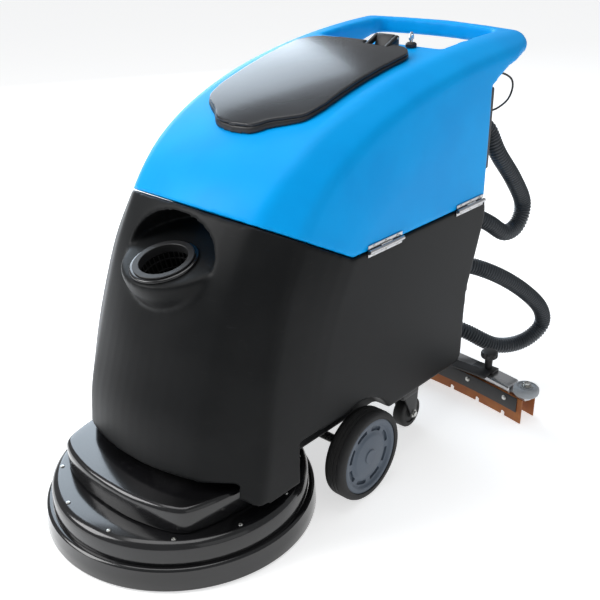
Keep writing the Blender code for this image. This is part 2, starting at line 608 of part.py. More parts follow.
def wheel(side, name):
    """A drive wheel: a black tyre on a grey rim that turns on the axle."""
    r, w = wheel_radius, wheel_width
    axis = "X" if side > 0 else "-X"
    centre = (side * (wheel_face - w / 2), wheel_y, wheel_radius)
    tyre = [(0.0835, w / 2), (0.0935, w / 2), (r, w / 2 - 0.009), (r, 0.009 - w / 2), (0.0935, -w / 2),
            (0.0835, -w / 2)]
    turned(f"tyre_{name}", tyre, centre, "rubber", axis, 40, True)
    rim = [(0, 0.0215), (0.046, 0.0205), (0.054, 0.0165), (0.068, 0.0165), (0.073, 0.0220), (0.0831, 0.0215),
           (0.0831, -0.0215), (0.0740, 0.004), (0.028, 0.004), (0.026, -0.021), (0.0104, -0.021),
           (0.0104, 0.0045), (0, 0.0045)]
    turned(f"rim_{name}", rim, centre, "wheel_grey", axis, 28)


def castor(side, name):
    """A swivel castor: a fork with its bolt under a bearing, and the wheel on the bolt."""
    x, y, trail, r = side * castor_x, castor_y, castor_trail, castor_radius
    fork = turned(f"castor_fork_{name}", [(0, 0.1270), (0.026, 0.1270), (0.028, 0.120), (0.022, 0.1085), (0, 0.1085)],
                  (x, y, 0), "painted_steel", steps=24)
    join(fork, box("fork crown", (x - 0.0225, y - 0.020, 0.092), (x + 0.0225, y + trail + 0.016, 0.110)))
    for leg in (-1, 1):
        low, high = sorted((x + leg * 0.0165, x + leg * 0.0215))
        leg_line = [(y - 0.018, 0.1095), (y + trail + 0.015, 0.1095)] + arc((y + trail, r), 0.0125, 20, -200, 9)
        join(fork, prism("fork leg", leg_line, "X", low, high))
    join(fork, rod("bolt", (x - 0.0250, y + trail, r), (x + 0.0250, y + trail, r), 0.0040, sides=16))
    for low, high in ((-0.0275, -0.0210), (0.0210, 0.0275)):
        join(fork, rod("bolt head", (x + low, y + trail, r), (x + high, y + trail, r), 0.0070, sides=6))
    wheel_line = [(r - 0.006, 0.0145), (r, 0.0095), (r, -0.0095), (r - 0.006, -0.0145), (0.0046, -0.0150),
                  (0.0046, 0.0150)]
    turned(f"castor_wheel_{name}", wheel_line, (x, y + trail, r), "rubber", "X", 24, True)


# ---- inside the body
def inside_the_body():
    """Two batteries and the vacuum motor in the bay under the recovery tank."""
    for name, low_x, high_x in (("battery_left", 0.006, 0.180), ("battery_right", -0.180, -0.006)):
        case = box(name, (low_x, 0.135, bay_low.z + gap), (high_x, 0.465, bay_low.z + 0.215), "battery_case", 0.005)
        for y in (0.165, 0.435):
            x = (low_x + high_x) / 2
            join(case, rod("terminal", (x, y, bay_low.z + 0.2), (x, y, bay_low.z + 0.230), 0.009, sides=16))
    turned("vacuum_motor", [(0, 0.175), (0.03, 0.175), (0.034, 0.155), (0.062, 0.150), (0.064, 0.10), (0.055, 0.095),
                            (0.055, 0.004), (0.050, 0.0), (0, 0.0)], (-0.11, 0.570, bay_low.z + gap), "motor_grey",
           steps=24)


# ---- hoses
upper_route = [(0.200, 0.7458, 0.690), (0.200, 0.757, 0.690), (0.200, 0.770, 0.688), (0.208, 0.789, 0.671),
               (0.222, 0.814, 0.618), (0.236, 0.873, 0.546), (0.240, 0.9255, 0.474), (0.238, 0.913, 0.422),
               (0.229, 0.869, 0.410), (0.212, 0.820, 0.443), (0.192, 0.780, 0.468), (0.190, 0.765, 0.470),
               (0.190, 0.753, 0.470), (0.190, 0.7410, 0.470)]
lower_route = [(0.150, 0.7330, 0.340), (0.150, 0.745, 0.340), (0.150, 0.757, 0.340), (0.185, 0.810, 0.327),
               (0.228, 0.875, 0.290), (0.262, 0.945, 0.235), (0.284, 1.000, 0.175), (0.284, 1.015, 0.120),
               (0.258, 0.970, 0.082), (0.218, 0.900, 0.085), (0.160, 0.846, 0.125), (0.085, 0.812, 0.152),
               (0.058, 0.8060, 0.157), (0.044, 0.8060, 0.157), (0.0320, 0.8060, 0.157)]


def hose_fittings():
    """The cuffs and the double elbow that the two hose runs plug into."""
    y1 = rear_wall + 0.032
    rod("tank_outlet", (0.200, y1 + gap, 0.690), (0.200, 0.7452, 0.690), 0.026, "black_trim", sides=24)
    (x, _, z), (low_x, _, low_z) = upper_route[-1], lower_route[0]
    coupler = box("hose_coupler", (0.118, 0.7130, 0.300), (0.222, 0.7260, 0.510), "black_trim", 0.004)
    join(coupler, rod("upper socket", (x, 0.720, z), (x, 0.7404, z), 0.026, sides=24))
    join(coupler, rod("lower socket", (low_x, 0.720, low_z), (low_x, 0.7324, low_z), 0.026, sides=24))
    foot = [(0.6566, 0.3200), (0.6568, 0.3350), (0.7018, 0.4670), (0.7150, 0.4670), (0.7150, 0.3200)]
    join(coupler, prism("coupler foot", foot, "X", 0.135, 0.205))


def hoses():
    tube("vacuum_hose", upper_route, hose_radius, "hose_plastic", steps=2)
    tube("squeegee_hose", lower_route, hose_radius, "hose_plastic", steps=2)


cable_route = [(0.236, 0.7450, 0.8070), (0.2415, 0.768, 0.8080), (0.248, 0.796, 0.793), (0.249, 0.803, 0.772),
               (0.246, 0.791, 0.748), (0.238, 0.763, 0.733), (0.232, 0.7350, 0.730)]


def panel_cable():
    """The thin cable that loops from the panel up to the handle."""
    tube("panel_cable", cable_route, 0.0022, "hose_plastic", steps=2)


# ---- squeegee
def bowed(name, half, offset, thick, low, high, look=None, count=12):
    """A bar that follows the squeegee's bow."""
    xs = [half * (2 * i / count - 1) for i in range(count + 1)]
    line = [(x, squeegee_y + offset - squeegee_bow * x * x) for x in xs]
    outline = [(x, y - thick / 2) for x, y in line] + [(x, y + thick / 2) for x, y in reversed(line)]
    return prism(name, outline, "Z", low, high, look)


roller_x = 0.386
knob_x = 0.268


def roller_y():
    return squeegee_y - squeegee_bow * roller_x ** 2


def squeegee():
    """The bowed squeegee: channel, two blades, their straps, the suction nozzle and the arm."""
    channel = bowed("squeegee_body", 0.350, 0, 0.050, 0.050, 0.078, "steel")
    for side in (-1, 1):
        y = roller_y()
        join(channel, box("roller arm", (side * 0.363 - 0.023, y - 0.012, 0.056), (side * 0.363 + 0.023, y + 0.012,
                                                                                  0.066)))
        join(channel, rod("roller pad", (side * roller_x, y, 0.0565), (side * roller_x, y, 0.0655), 0.015, sides=16))
        cut(channel, rod("roller bore", (side * roller_x, y, 0.0), (side * roller_x, y, 0.1), 0.0043, sides=12))
        cut(channel, rod("knob bore", (side * knob_x, squeegee_y - squeegee_bow * knob_x ** 2, 0.04),
                         (side * knob_x, squeegee_y - squeegee_bow * knob_x ** 2, 0.1), 0.0052, sides=12))
    cut(channel, rod("nozzle bore", (0, squeegee_y, 0.04), (0, squeegee_y, 0.1), 0.0205, sides=24))
    cut(channel, bowed("water channel", 0.335, 0, 0.034, 0.040, 0.068))
    front = bowed("front_blade", squeegee_half - 0.006, -0.0275, 0.004, 0.0, 0.0640, "blade_rubber")
    for x in (-0.34, -0.26, -0.18, -0.10, 0.10, 0.18, 0.26, 0.34):
        y = squeegee_y - 0.0275 - squeegee_bow * x * x
        cut(front, box("blade notch", (x - 0.006, y - 0.01, -0.01), (x + 0.006, y + 0.01, 0.012)))
    bowed("rear_blade", squeegee_half, 0.0275, 0.004, 0.0, 0.0640, "blade_rubber")
    bowed("front_strap", 0.380, -0.0310, 0.0022, 0.026, 0.0635, "painted_steel")
    bowed("rear_strap", 0.380, 0.0310, 0.0022, 0.026, 0.0635, "painted_steel")
    y, z = lower_route[-1][1:]
    nozzle = solid_tube("nozzle bend", [(0, squeegee_y, 0.085), (0, squeegee_y + 0.002, 0.115), (0.001, y, 0.143),
                                        (0.009, y, z - 0.002), (0.020, y, z), (0.0314, y, z)], 0.0215, 3)
    elbow = rod("suction_nozzle", (0, squeegee_y, 0.0785), (0, squeegee_y, 0.090), 0.030, "black_trim", sides=24)
    join(elbow, nozzle, rod("nozzle spigot", (0, squeegee_y, 0.058), (0, squeegee_y, 0.085), 0.0200, sides=24))


def squeegee_arm():
    """The arm that carries the squeegee: two bars, a cross beam and its clamp pads."""
    y, z = arm_pivot
    beam_y = squeegee_y - squeegee_bow * knob_x ** 2
    arm = box("squeegee_arm", (-0.290, beam_y - 0.015, 0.0785), (-0.230, beam_y + 0.015, 0.0865), "painted_steel")
    join(arm, box("clamp pad", (0.230, beam_y - 0.015, 0.0785), (0.290, beam_y + 0.015, 0.0865)))
    join(arm, box("cross beam", (-0.285, beam_y - 0.045, 0.0790), (0.285, beam_y - 0.013, 0.0860)))
    for side in (-1, 1):
        low, high = sorted((side * 0.084, side * 0.092))
        bar = arc((y, z), 0.013, 60, 260, 8) + [(beam_y - 0.045, 0.0800), (beam_y - 0.020, 0.0800),
                                                 (beam_y - 0.020, 0.096)]
        join(arm, prism("arm bar", bar, "X", low, high))
        cut(arm, rod("clamp bore", (side * knob_x, beam_y, 0.05), (side * knob_x, beam_y, 0.12), 0.0052, sides=12))
    cut(arm, rod("pivot bore", (-0.2, y, z), (0.2, y, z), 0.0064, sides=16))
    hang(arm, (0, y, z))


def squeegee_fittings():
    """The clamp knobs and the bumper rollers with their bolts."""
    beam_y = squeegee_y - squeegee_bow * knob_x ** 2
    for name, side in (("left", 1), ("right", -1)):
        x = side * knob_x
        turned(f"clamp_knob_{name}", [(0, 0.046), (0.018, 0.046), (0.021, 0.042), (0.021, 0.030), (0.010, 0.026),
                                      (0.009, 0.0), (0.0048, 0.0), (0.0048, -0.024), (0, -0.024)],
               (x, beam_y, 0.0869), "black_trim", steps=18)
        x, y = side * roller_x, roller_y()
        turned(f"bumper_roller_{name}", [(0.023, 0.022), (0.031, 0.016), (0.031, 0.006), (0.023, 0.0),
                                         (0.0050, 0.0), (0.0050, 0.022)], (x, y, 0.0668),
               "bumper_grey", steps=24, ring=True)
        turned(f"roller_bolt_{name}", [(0, 0.032), (0.008, 0.032), (0.009, 0.0265), (0.009, 0.0230), (0.0040, 0.0230),
                                       (0.0040, -0.018), (0, -0.018)], (x, y, 0.0668), "steel", steps=16)


lever_pivot = (-0.150, 0.7100, 0.420)


def lift_lever():
    """The hand lever at the back that raises the squeegee, and its bracket on the body."""
    x, y, z = lever_pivot
    bracket = box("lever_bracket", (x - 0.024, 0.7045, z - 0.030), (x - 0.010, 0.7180, z + 0.055), "painted_steel")
    foot = [(0.6905, 0.4305), (0.7085, 0.480), (0.7120, 0.480), (0.7120, 0.4305)]
    join(bracket, prism("bracket foot", foot, "X", x - 0.040, x - 0.012))
    join(bracket, rod("lever pin", (x - 0.020, y, z), (x + 0.013, y, z), 0.0048, sides=16))
    handle = solid_tube("lever rod", [(x, y, z), (x, y + 0.020, z + 0.050), (x, y + 0.048, z + 0.090)], 0.0060)
    grip = rod("squeegee_lever", (x, y + 0.044, z + 0.083), (x, y + 0.082, z + 0.138), 0.0115, "black_trim",
               sides=18)
    join(grip, handle, rod("lever boss", (x - 0.009, y, z), (x + 0.009, y, z), 0.0125, sides=20))
    cut(grip, rod("boss bore", (x - 0.05, y, z), (x + 0.05, y, z), 0.0052, sides=16))
    hang(grip, (x, y, z))


lower_body()
filler()
recovery_tank()
lid()
lid_hinge()
control_panel()
key_switch()
hinges()
inside_the_tank()
deck()
brush()
deck_pedal()
chassis_frame()
for wheel_side, wheel_name in ((1, "left"), (-1, "right")):
    wheel(wheel_side, wheel_name)
    castor(wheel_side, wheel_name)
inside_the_body()
hose_fittings()
hoses()
panel_cable()
squeegee()
squeegee_arm()
squeegee_fittings()
lift_lever()

for part in bpy.data.objects:
    part.location.y -= centre_shift
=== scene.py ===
import math

import bpy
from mathutils import Matrix, Vector


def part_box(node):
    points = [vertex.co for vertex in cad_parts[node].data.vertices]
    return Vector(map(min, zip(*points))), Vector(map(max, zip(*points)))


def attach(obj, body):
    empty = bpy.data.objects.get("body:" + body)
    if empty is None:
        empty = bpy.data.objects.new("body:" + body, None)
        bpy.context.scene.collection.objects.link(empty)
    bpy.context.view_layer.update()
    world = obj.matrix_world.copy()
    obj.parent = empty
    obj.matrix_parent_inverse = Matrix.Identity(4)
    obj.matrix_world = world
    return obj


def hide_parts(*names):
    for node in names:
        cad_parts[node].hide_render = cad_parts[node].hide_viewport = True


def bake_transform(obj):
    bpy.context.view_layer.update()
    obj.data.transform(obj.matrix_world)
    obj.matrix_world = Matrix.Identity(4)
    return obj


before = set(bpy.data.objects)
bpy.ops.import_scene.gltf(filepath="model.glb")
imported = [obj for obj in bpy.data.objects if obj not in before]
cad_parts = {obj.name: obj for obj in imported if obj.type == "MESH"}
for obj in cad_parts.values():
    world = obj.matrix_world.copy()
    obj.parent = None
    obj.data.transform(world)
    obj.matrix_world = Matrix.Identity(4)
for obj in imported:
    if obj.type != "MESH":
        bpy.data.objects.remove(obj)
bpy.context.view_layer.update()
bpy.ops.object.select_all(action="DESELECT")
scene = bpy.context.scene
scene.view_settings.view_transform = "Standard"
scene.view_settings.look = "None"
print("frame loaded")

shiftY = 0.3225  # shapes are written with y from the brush's centre and moved by this at the end
tinyGap = 0.0004
turn = math.tau


# ---- camera, light and floor
cameraValues = {"place": (1.2043, -1.3105, 1.1758), "azimuth": 41.47, "elevation": 24.87, "roll": -0.32,
    "lens": 53.46, "sensor": 36}
azimuth, elevation = math.radians(cameraValues["azimuth"]), math.radians(cameraValues["elevation"])
backwards = Vector((math.sin(azimuth) * math.cos(elevation), -math.cos(azimuth) * math.cos(elevation),
    math.sin(elevation)))
bpy.ops.object.camera_add(location=cameraValues["place"])
camera = bpy.context.object
camera.name = "studioCamera"
camera.data.lens = cameraValues["lens"]
camera.data.sensor_width = cameraValues["sensor"]
camera.rotation_mode = "QUATERNION"
roll = Matrix.Rotation(math.radians(cameraValues["roll"]), 3, backwards)
camera.rotation_quaternion = (roll @ (-backwards).to_track_quat("-Z", "Y").to_matrix()).to_quaternion()
scene.camera = camera

lampValues = {"key": {"place": (-1.9, -2.3, 2.5), "size": 1.8, "power": 74, "tint": (1, 1, 1)},
              "fill": {"place": (2.8, -0.8, 1.4), "size": 2.2, "power": 7, "tint": (1, 1, 1)},
              "window": {"place": (-3.2, 1.6, 2.1), "size": 2.6, "power": 92, "tint": (0.76, 0.88, 1.0)},
              "top": {"place": (-0.4, -0.2, 3.2), "size": 2.0, "power": 30, "tint": (1, 1, 1)}}
worldValues = {"aim": Vector((0, 0, 0.45)), "sky": 0.36, "tint": (0.96, 0.98, 1, 1), "backdrop": 1.0}
floorValues = {"size": 30, "drop": 0.0005, "tone": 0.86, "shade": 0.02, "cloud": 1.4, "glow": 0.6}
for lampName, values in lampValues.items():
    bpy.ops.object.light_add(type="AREA", location=values["place"])
    lamp = bpy.context.object
    lamp.name = lampName + "Softbox"
    lamp.data.shape = "SQUARE"
    lamp.data.size = values["size"]
    lamp.data.energy = values["power"]
    lamp.data.color = values["tint"]
    lamp.visible_camera = False
    lamp.rotation_mode = "QUATERNION"
    lamp.rotation_quaternion = (worldValues["aim"] - lamp.location).to_track_quat("-Z", "Y")
world = bpy.data.worlds.new("studioWorld")
world.use_nodes = True
sky = world.node_tree.nodes["Background"]
sky.inputs["Color"].default_value = worldValues["tint"]
sky.inputs["Strength"].default_value = worldValues["sky"]
backdrop = world.node_tree.nodes.new("ShaderNodeBackground")
backdrop.inputs["Strength"].default_value = worldValues["backdrop"]
rays = world.node_tree.nodes.new("ShaderNodeLightPath")
either = world.node_tree.nodes.new("ShaderNodeMixShader")
for i, source in enumerate((rays.outputs["Is Camera Ray"], sky.outputs[0], backdrop.outputs[0])):
    world.node_tree.links.new(source, either.inputs[i])
world.node_tree.links.new(either.outputs[0], world.node_tree.nodes["World Output"].inputs["Surface"])
scene.world = world


# ---- finishes
class Signal:
    def __init__(self, finish, socket):
        self.finish, self.socket = finish, socket

    def maths(self, operation, first, second):
        made = self.finish.node("ShaderNodeMath", {"operation": operation}, {0: first, 1: second})
        return Signal(self.finish, made.outputs[0])

    def __add__(self, other):
        return self.maths("ADD", self, other)

    def __sub__(self, other):
        return self.maths("SUBTRACT", self, other)

    def __mul__(self, other):
        return self.maths("MULTIPLY", self, other)

    __radd__ = __add__


class Finish:
    def __init__(self, name):
        self.material = bpy.data.materials.new(name)
        self.material.use_nodes = True
        self.tree = self.material.node_tree
        self.shader = self.tree.nodes["Principled BSDF"]

    def node(self, kind, settings=None, sockets=None):
        made = self.tree.nodes.new(kind)
        for key, value in (settings or {}).items():
            setattr(made, key, value)
        self.feed(made, sockets or {})
        return made

    def feed(self, made, sockets):
        for key, value in sockets.items():
            if isinstance(value, Signal):
                self.tree.links.new(value.socket, made.inputs[key])
            elif isinstance(value, tuple) and len(value) == 3 and made.inputs[key].type == "RGBA":
                made.inputs[key].default_value = (*value, 1)
            else:
                made.inputs[key].default_value = value

    def signal(self, made, output=0):
        return Signal(self, made.outputs[output])

    def place(self):
        return self.signal(self.node("ShaderNodeTexCoord"), "Object")

    def noise(self, scale, detail=3.0, stretch=(1, 1, 1), roughness=0.5):
        spot = self.node("ShaderNodeMapping", None, {"Vector": self.place(), "Scale": stretch})
        made = self.node("ShaderNodeTexNoise", None, {"Vector": self.signal(spot), "Scale": scale,
            "Detail": detail, "Roughness": roughness})
        return self.signal(made)

    def ramp(self, value, low, high):
        made = self.node("ShaderNodeMapRange", {"interpolation_type": "SMOOTHSTEP"},
            {"Value": value, "From Min": low, "From Max": high})
        return self.signal(made)

    def mix(self, first, second, share):
        made = self.node("ShaderNodeMix", {"data_type": "RGBA"}, {0: share, 6: first, 7: second})
        return self.signal(made, 2)

    def bump(self, height, strength, distance):
        made = self.node("ShaderNodeBump", None, {"Height": height, "Strength": strength,
            "Distance": distance})
        return self.signal(made)


wearValues = {"scuffScale": 38, "scuffStretch": (1, 1, 5), "scuffed": (0.6, 0.76), "rubbed": (0.53, 0.62),
    "grainDepth": 0.0006, "coatRoughness": 0.08, "lineScale": 260, "lineDepth": 0.0004, "spotScale": 120,
    "spotted": (0.62, 0.78)}


def plastic(name, look):
    finish = Finish(name)
    cloud = finish.noise(look.get("cloud", 7), 4)
    grain = finish.noise(look.get("grain", 900), 2)
    scuff = finish.noise(wearValues["scuffScale"], 6, wearValues["scuffStretch"], 0.65)
    scuff = finish.ramp(scuff, *wearValues["scuffed"]) * look.get("scuff", 0.3)
    edge = finish.signal(finish.node("ShaderNodeNewGeometry"), "Pointiness")
    edge = finish.ramp(edge, *wearValues["rubbed"])
    colour = finish.mix(look["colour"], look["second"], finish.ramp(cloud, 0.3, 0.7))
    colour = finish.mix(colour, look["worn"], scuff)
    colour = finish.mix(colour, look["worn"], edge * look.get("edge", 0.15))
    rough = look["roughness"] + (cloud - 0.5) * look.get("patchy", 0.12) + scuff * 0.25
    finish.feed(finish.shader, {"Base Color": colour, "Roughness": rough,
        "Metallic": look.get("metallic", 0.0), "Coat Weight": look.get("coat", 0.0),
        "Coat Roughness": wearValues["coatRoughness"], "Specular IOR Level": look.get("shine", 0.4),
        "Normal": finish.bump(grain, look.get("depth", 0.12), wearValues["grainDepth"])})
    return finish.material


def metal(name, look):
    finish = Finish(name)
    lines = finish.noise(wearValues["lineScale"], 2, look.get("along", (0.03, 1, 1)))
    cloud = finish.noise(14, 4)
    spots = finish.ramp(finish.noise(wearValues["spotScale"], 4), *wearValues["spotted"])
    spots = spots * look.get("spots", 0.35)
    colour = finish.mix(look["colour"], look["second"], finish.ramp(cloud, 0.35, 0.7))
    colour = finish.mix(colour, look["worn"], spots)
    rough = look["roughness"] + (lines - 0.5) * 0.16 + spots * 0.3
    finish.feed(finish.shader, {"Base Color": colour, "Roughness": rough,
        "Metallic": look.get("metallic", 1.0), "Normal": finish.bump(lines, look.get("depth", 0.1),
        wearValues["lineDepth"])})
    return finish.material


finishes = {name: plastic(name, look) for name, look in {
    "bluePlastic": {"colour": (0.0, 0.34, 0.84), "second": (0.0, 0.38, 0.90), "worn": (0.04, 0.47, 0.93),
                    "roughness": 0.40, "grain": 620, "depth": 0.10, "scuff": 0.06, "edge": 0.12,
                    "patchy": 0.08,
                    "shine": 0.11},
    "bodyPlastic": {"colour": (0.0065, 0.0070, 0.0075), "second": (0.010, 0.0105, 0.011),
                    "worn": (0.040, 0.040, 0.042), "roughness": 0.40, "grain": 760, "depth": 0.20,
                    "scuff": 0.16, "edge": 0.2, "shine": 0.12},
    "deckGloss": {"colour": (0.0045, 0.0045, 0.005), "second": (0.009, 0.009, 0.010),
                  "worn": (0.05, 0.05, 0.05), "roughness": 0.17, "grain": 300, "depth": 0.04, "scuff": 0.35,
                  "edge": 0.2, "patchy": 0.14, "coat": 0.45},
    "lidGloss": {"colour": (0.020, 0.021, 0.024), "second": (0.026, 0.027, 0.030),
                 "worn": (0.07, 0.07, 0.075), "roughness": 0.22, "grain": 420, "depth": 0.05, "scuff": 0.12,
                 "edge": 0.1, "coat": 0.08, "shine": 0.26},
    # lid side wall: the same plastic as lidGloss, made darker as painted shade for the shadow on the lid's
    # side wall
    "lidShadedSide": {"colour": (0.010, 0.010, 0.011), "second": (0.014, 0.014, 0.015), "worn": (0.04, 0.04, 0.04),
               "roughness": 0.38, "grain": 700, "depth": 0.1, "scuff": 0.1},
    "trimPlastic": {"colour": (0.012, 0.012, 0.013), "second": (0.020, 0.020, 0.021),
                    "worn": (0.06, 0.06, 0.06), "roughness": 0.45, "grain": 900, "depth": 0.18},
    "hosePlastic": {"colour": (0.030, 0.036, 0.043), "second": (0.042, 0.050, 0.058),
                    "worn": (0.055, 0.058, 0.065), "roughness": 0.36, "grain": 500, "depth": 0.08,
                    "edge": 0.5},
    "softRubber": {"colour": (0.010, 0.010, 0.010), "second": (0.017, 0.017, 0.017),
                   "worn": (0.05, 0.048, 0.045), "roughness": 0.62, "grain": 520, "depth": 0.25,
                   "scuff": 0.4},
    "tyreRubber": {"colour": (0.010, 0.010, 0.011), "second": (0.018, 0.018, 0.018),
                   "worn": (0.065, 0.062, 0.056), "roughness": 0.66, "grain": 480, "depth": 0.3,
                   "scuff": 0.5, "edge": 0.3},
    "rimPlastic": {"colour": (0.085, 0.105, 0.135), "second": (0.105, 0.13, 0.165),
                   "worn": (0.26, 0.29, 0.33),
                   "roughness": 0.40, "grain": 600, "depth": 0.1, "scuff": 0.3, "shine": 0.25},
    "rollerGrey": {"colour": (0.30, 0.32, 0.34), "second": (0.36, 0.38, 0.40), "worn": (0.5, 0.5, 0.5),
                   "roughness": 0.55, "grain": 520, "depth": 0.15},
    "bladeRubber": {"colour": (0.30, 0.085, 0.018), "second": (0.40, 0.14, 0.030),
                    "worn": (0.22, 0.06, 0.02), "roughness": 0.55, "grain": 420, "depth": 0.2,
                    "scuff": 0.6, "cloud": 20},
    "brushNylon": {"colour": (0.016, 0.018, 0.022), "second": (0.04, 0.045, 0.055),
                   "worn": (0.09, 0.09, 0.09), "roughness": 0.6, "grain": 300, "depth": 0.3, "cloud": 60},
    "brushWood": {"colour": (0.05, 0.052, 0.056), "second": (0.075, 0.077, 0.08),
                  "worn": (0.15, 0.15, 0.15),
                  "roughness": 0.5, "grain": 420, "depth": 0.2},
    "batteryCase": {"colour": (0.045, 0.047, 0.052), "second": (0.06, 0.062, 0.067),
                    "worn": (0.16, 0.16, 0.17), "roughness": 0.45, "grain": 620, "depth": 0.2,
                    "scuff": 0.4},
    "redPlastic": {"colour": (0.50, 0.018, 0.012), "second": (0.58, 0.03, 0.02), "worn": (0.7, 0.2, 0.15),
                   "roughness": 0.3, "grain": 700, "depth": 0.05, "scuff": 0.1},
    "gaugeWindow": {"colour": (0.012, 0.02, 0.016), "second": (0.018, 0.028, 0.022),
                    "worn": (0.1, 0.11, 0.1), "roughness": 0.12, "grain": 300, "depth": 0.02, "scuff": 0.1,
                    "coat": 0.5},
    "markWhite": {"colour": (0.62, 0.62, 0.60), "second": (0.7, 0.7, 0.68), "worn": (0.4, 0.4, 0.4),
                  "roughness": 0.5, "depth": 0.05},
}.items()}
finishes.update({name: metal(name, look) for name, look in {
    "brushedSteel": {"colour": (0.60, 0.60, 0.61), "second": (0.50, 0.50, 0.51), "worn": (0.30, 0.29, 0.27),
                     "roughness": 0.30},
    "zincBolt": {"colour": (0.62, 0.62, 0.60), "second": (0.50, 0.50, 0.48), "worn": (0.32, 0.31, 0.28),
                 "roughness": 0.28, "along": (1, 1, 0.05)},
    "blackSteel": {"colour": (0.014, 0.014, 0.015), "second": (0.022, 0.022, 0.023),
                   "worn": (0.14, 0.13, 0.12), "roughness": 0.42, "metallic": 0.0, "spots": 0.25,
                   "depth": 0.05},
    "motorPaint": {"colour": (0.17, 0.175, 0.18), "second": (0.22, 0.225, 0.23), "worn": (0.4, 0.4, 0.4),
                   "roughness": 0.40, "metallic": 0.3, "depth": 0.08},
}.items()})

slots = {"bluePlastic": "blue_shell", "bodyPlastic": "body_shell", "deckGloss": "deck_gloss",
    "lidShadedSide": "lid_shell", "lidGloss": "lid_shell", "trimPlastic": "black_trim", "hosePlastic": "hose",
    "softRubber": "rubber", "tyreRubber": "tyre", "rimPlastic": "wheel_grey", "rollerGrey": "bumper_grey",
    "bladeRubber": "blade_rubber", "brushNylon": "bristles", "brushWood": "battery_case",
    "batteryCase": "battery_case", "gaugeWindow": "gauge", "markWhite": "black_trim",
    "redPlastic": "switch_red", "brushedSteel": "steel", "zincBolt": "steel", "blackSteel": "painted_steel",
    "motorPaint": "motor_grey"}


def floorFinish():
    finish = Finish("studioFloor")
    cloud = finish.noise(floorValues["cloud"], 3)
    tone = floorValues["tone"]
    finish.feed(finish.shader, {"Base Color": finish.mix((tone,) * 3, (tone - floorValues["shade"],) * 3,
        cloud), "Roughness": 0.6 + cloud * 0.1, "Emission Color": (1.0, 1.0, 1.0),
        "Emission Strength": floorValues["glow"]})
    return finish.material


bpy.ops.mesh.primitive_plane_add(size=floorValues["size"], location=(0, 0, -floorValues["drop"]))
floor = bpy.context.object
floor.name = "studioFloor"
floor.data.materials.append(floorFinish())
print("camera, light and finishes made")


# ---- modelling helpers
def deselect():
    if bpy.context.mode != "OBJECT":
        bpy.ops.object.mode_set(mode="OBJECT")
    bpy.ops.object.select_all(action="DESELECT")


def pick(*pieces):
    deselect()
    for piece in pieces:
        piece.select_set(True)
    bpy.context.view_layer.objects.active = pieces[0]


def modify(piece, kind, **settings):
    pick(piece)
    step = piece.modifiers.new("step", kind)
    for key, value in settings.items():
        setattr(step, key, value)
    bpy.ops.object.modifier_apply(modifier=step.name)
    return piece


def bakePlace(piece):
    pick(piece)
    bpy.ops.object.transform_apply(location=True, rotation=True, scale=True)
    return piece


def editMesh(piece):
    pick(piece)
    bpy.ops.object.mode_set(mode="EDIT")
    bpy.ops.mesh.select_all(action="SELECT")


def tidyMesh(piece):
    editMesh(piece)
    bpy.ops.mesh.remove_doubles(threshold=0.00002)
    bpy.ops.mesh.normals_make_consistent(inside=False)
    bpy.ops.object.mode_set(mode="OBJECT")
    return piece


def closedLine(name, places):
    deselect()
    bpy.ops.mesh.primitive_circle_add(vertices=len(places))
    piece = bpy.context.object
    piece.name = name
    for vertex, place in zip(piece.data.vertices, places):
        vertex.co = place
    return piece


facings = {"Z": Matrix.Identity(4), "X": Matrix.Rotation(turn / 4, 4, "Y"),
    "-X": Matrix.Rotation(-turn / 4, 4, "Y"), "Y": Matrix.Rotation(-turn / 4, 4, "X"),
    "-Y": Matrix.Rotation(turn / 4, 4, "X")}


def placed(piece, place, axis="Z"):
    piece.data.transform(Matrix.Translation(place) @ facings[axis])
    return piece


def spun(name, outline, centre=(0, 0, 0), axis="Z", steps=64, tilt=0.0):
    piece = closedLine(name, [(r, 0, h) for r, h in outline])
    editMesh(piece)
    bpy.ops.mesh.spin(steps=steps, angle=turn, center=(0, 0, 0), axis=(0, 0, 1), use_auto_merge=True)
    bpy.ops.object.mode_set(mode="OBJECT")
    tidyMesh(piece)
    piece.data.transform(Matrix.Translation(centre) @ Matrix.Rotation(tilt, 4, "X") @ facings[axis])
    return piece


def extruded(name, outline, axis, low, high):
    place = "XYZ".index(axis)
    along = [0, 0, 0]
    along[place] = high - low
    piece = closedLine(name, [[*pair[:place], low, *pair[place:]] for pair in outline])
    editMesh(piece)
    bpy.ops.mesh.edge_face_add()
    bpy.ops.mesh.extrude_region_move(TRANSFORM_OT_translate={"value": along})
    bpy.ops.object.mode_set(mode="OBJECT")
    return tidyMesh(piece)


def rounded(piece, width, steps=3, angle=30):
    return modify(piece, "BEVEL", width=width, segments=steps, limit_method="ANGLE",
        angle_limit=math.radians(angle), harden_normals=False)


def block(name, low, high, rounding=0.0, steps=3):
    deselect()
    low, high = Vector(low), Vector(high)
    bpy.ops.mesh.primitive_cube_add(size=1, location=(low + high) / 2, scale=high - low)
    piece = bpy.context.object
    piece.name = name
    bakePlace(piece)
    return rounded(piece, rounding, steps) if rounding else piece


def rod(name, start, end, radius, endRadius=None, sides=40, rounding=0.0):
    deselect()
    start, end = Vector(start), Vector(end)
    bpy.ops.mesh.primitive_cone_add(vertices=sides, radius1=radius, radius2=radius if endRadius is None
        else endRadius, depth=(end - start).length)
    piece = bpy.context.object
    piece.name = name
    aim = (end - start).to_track_quat("Z", "Y").to_matrix().to_4x4()
    piece.data.transform(Matrix.Translation((start + end) / 2) @ aim)
    return rounded(piece, rounding, 3) if rounding else piece


def combine(piece, other, operation="DIFFERENCE"):
    modify(piece, "BOOLEAN", operation=operation, object=other, solver="EXACT")
    bpy.data.objects.remove(other)
    return piece


def cut(piece, *others):
    for other in others:
        combine(piece, other)
    return piece


def join(piece, *others):
    for other in others:
        combine(piece, other, "UNION")
    return piece


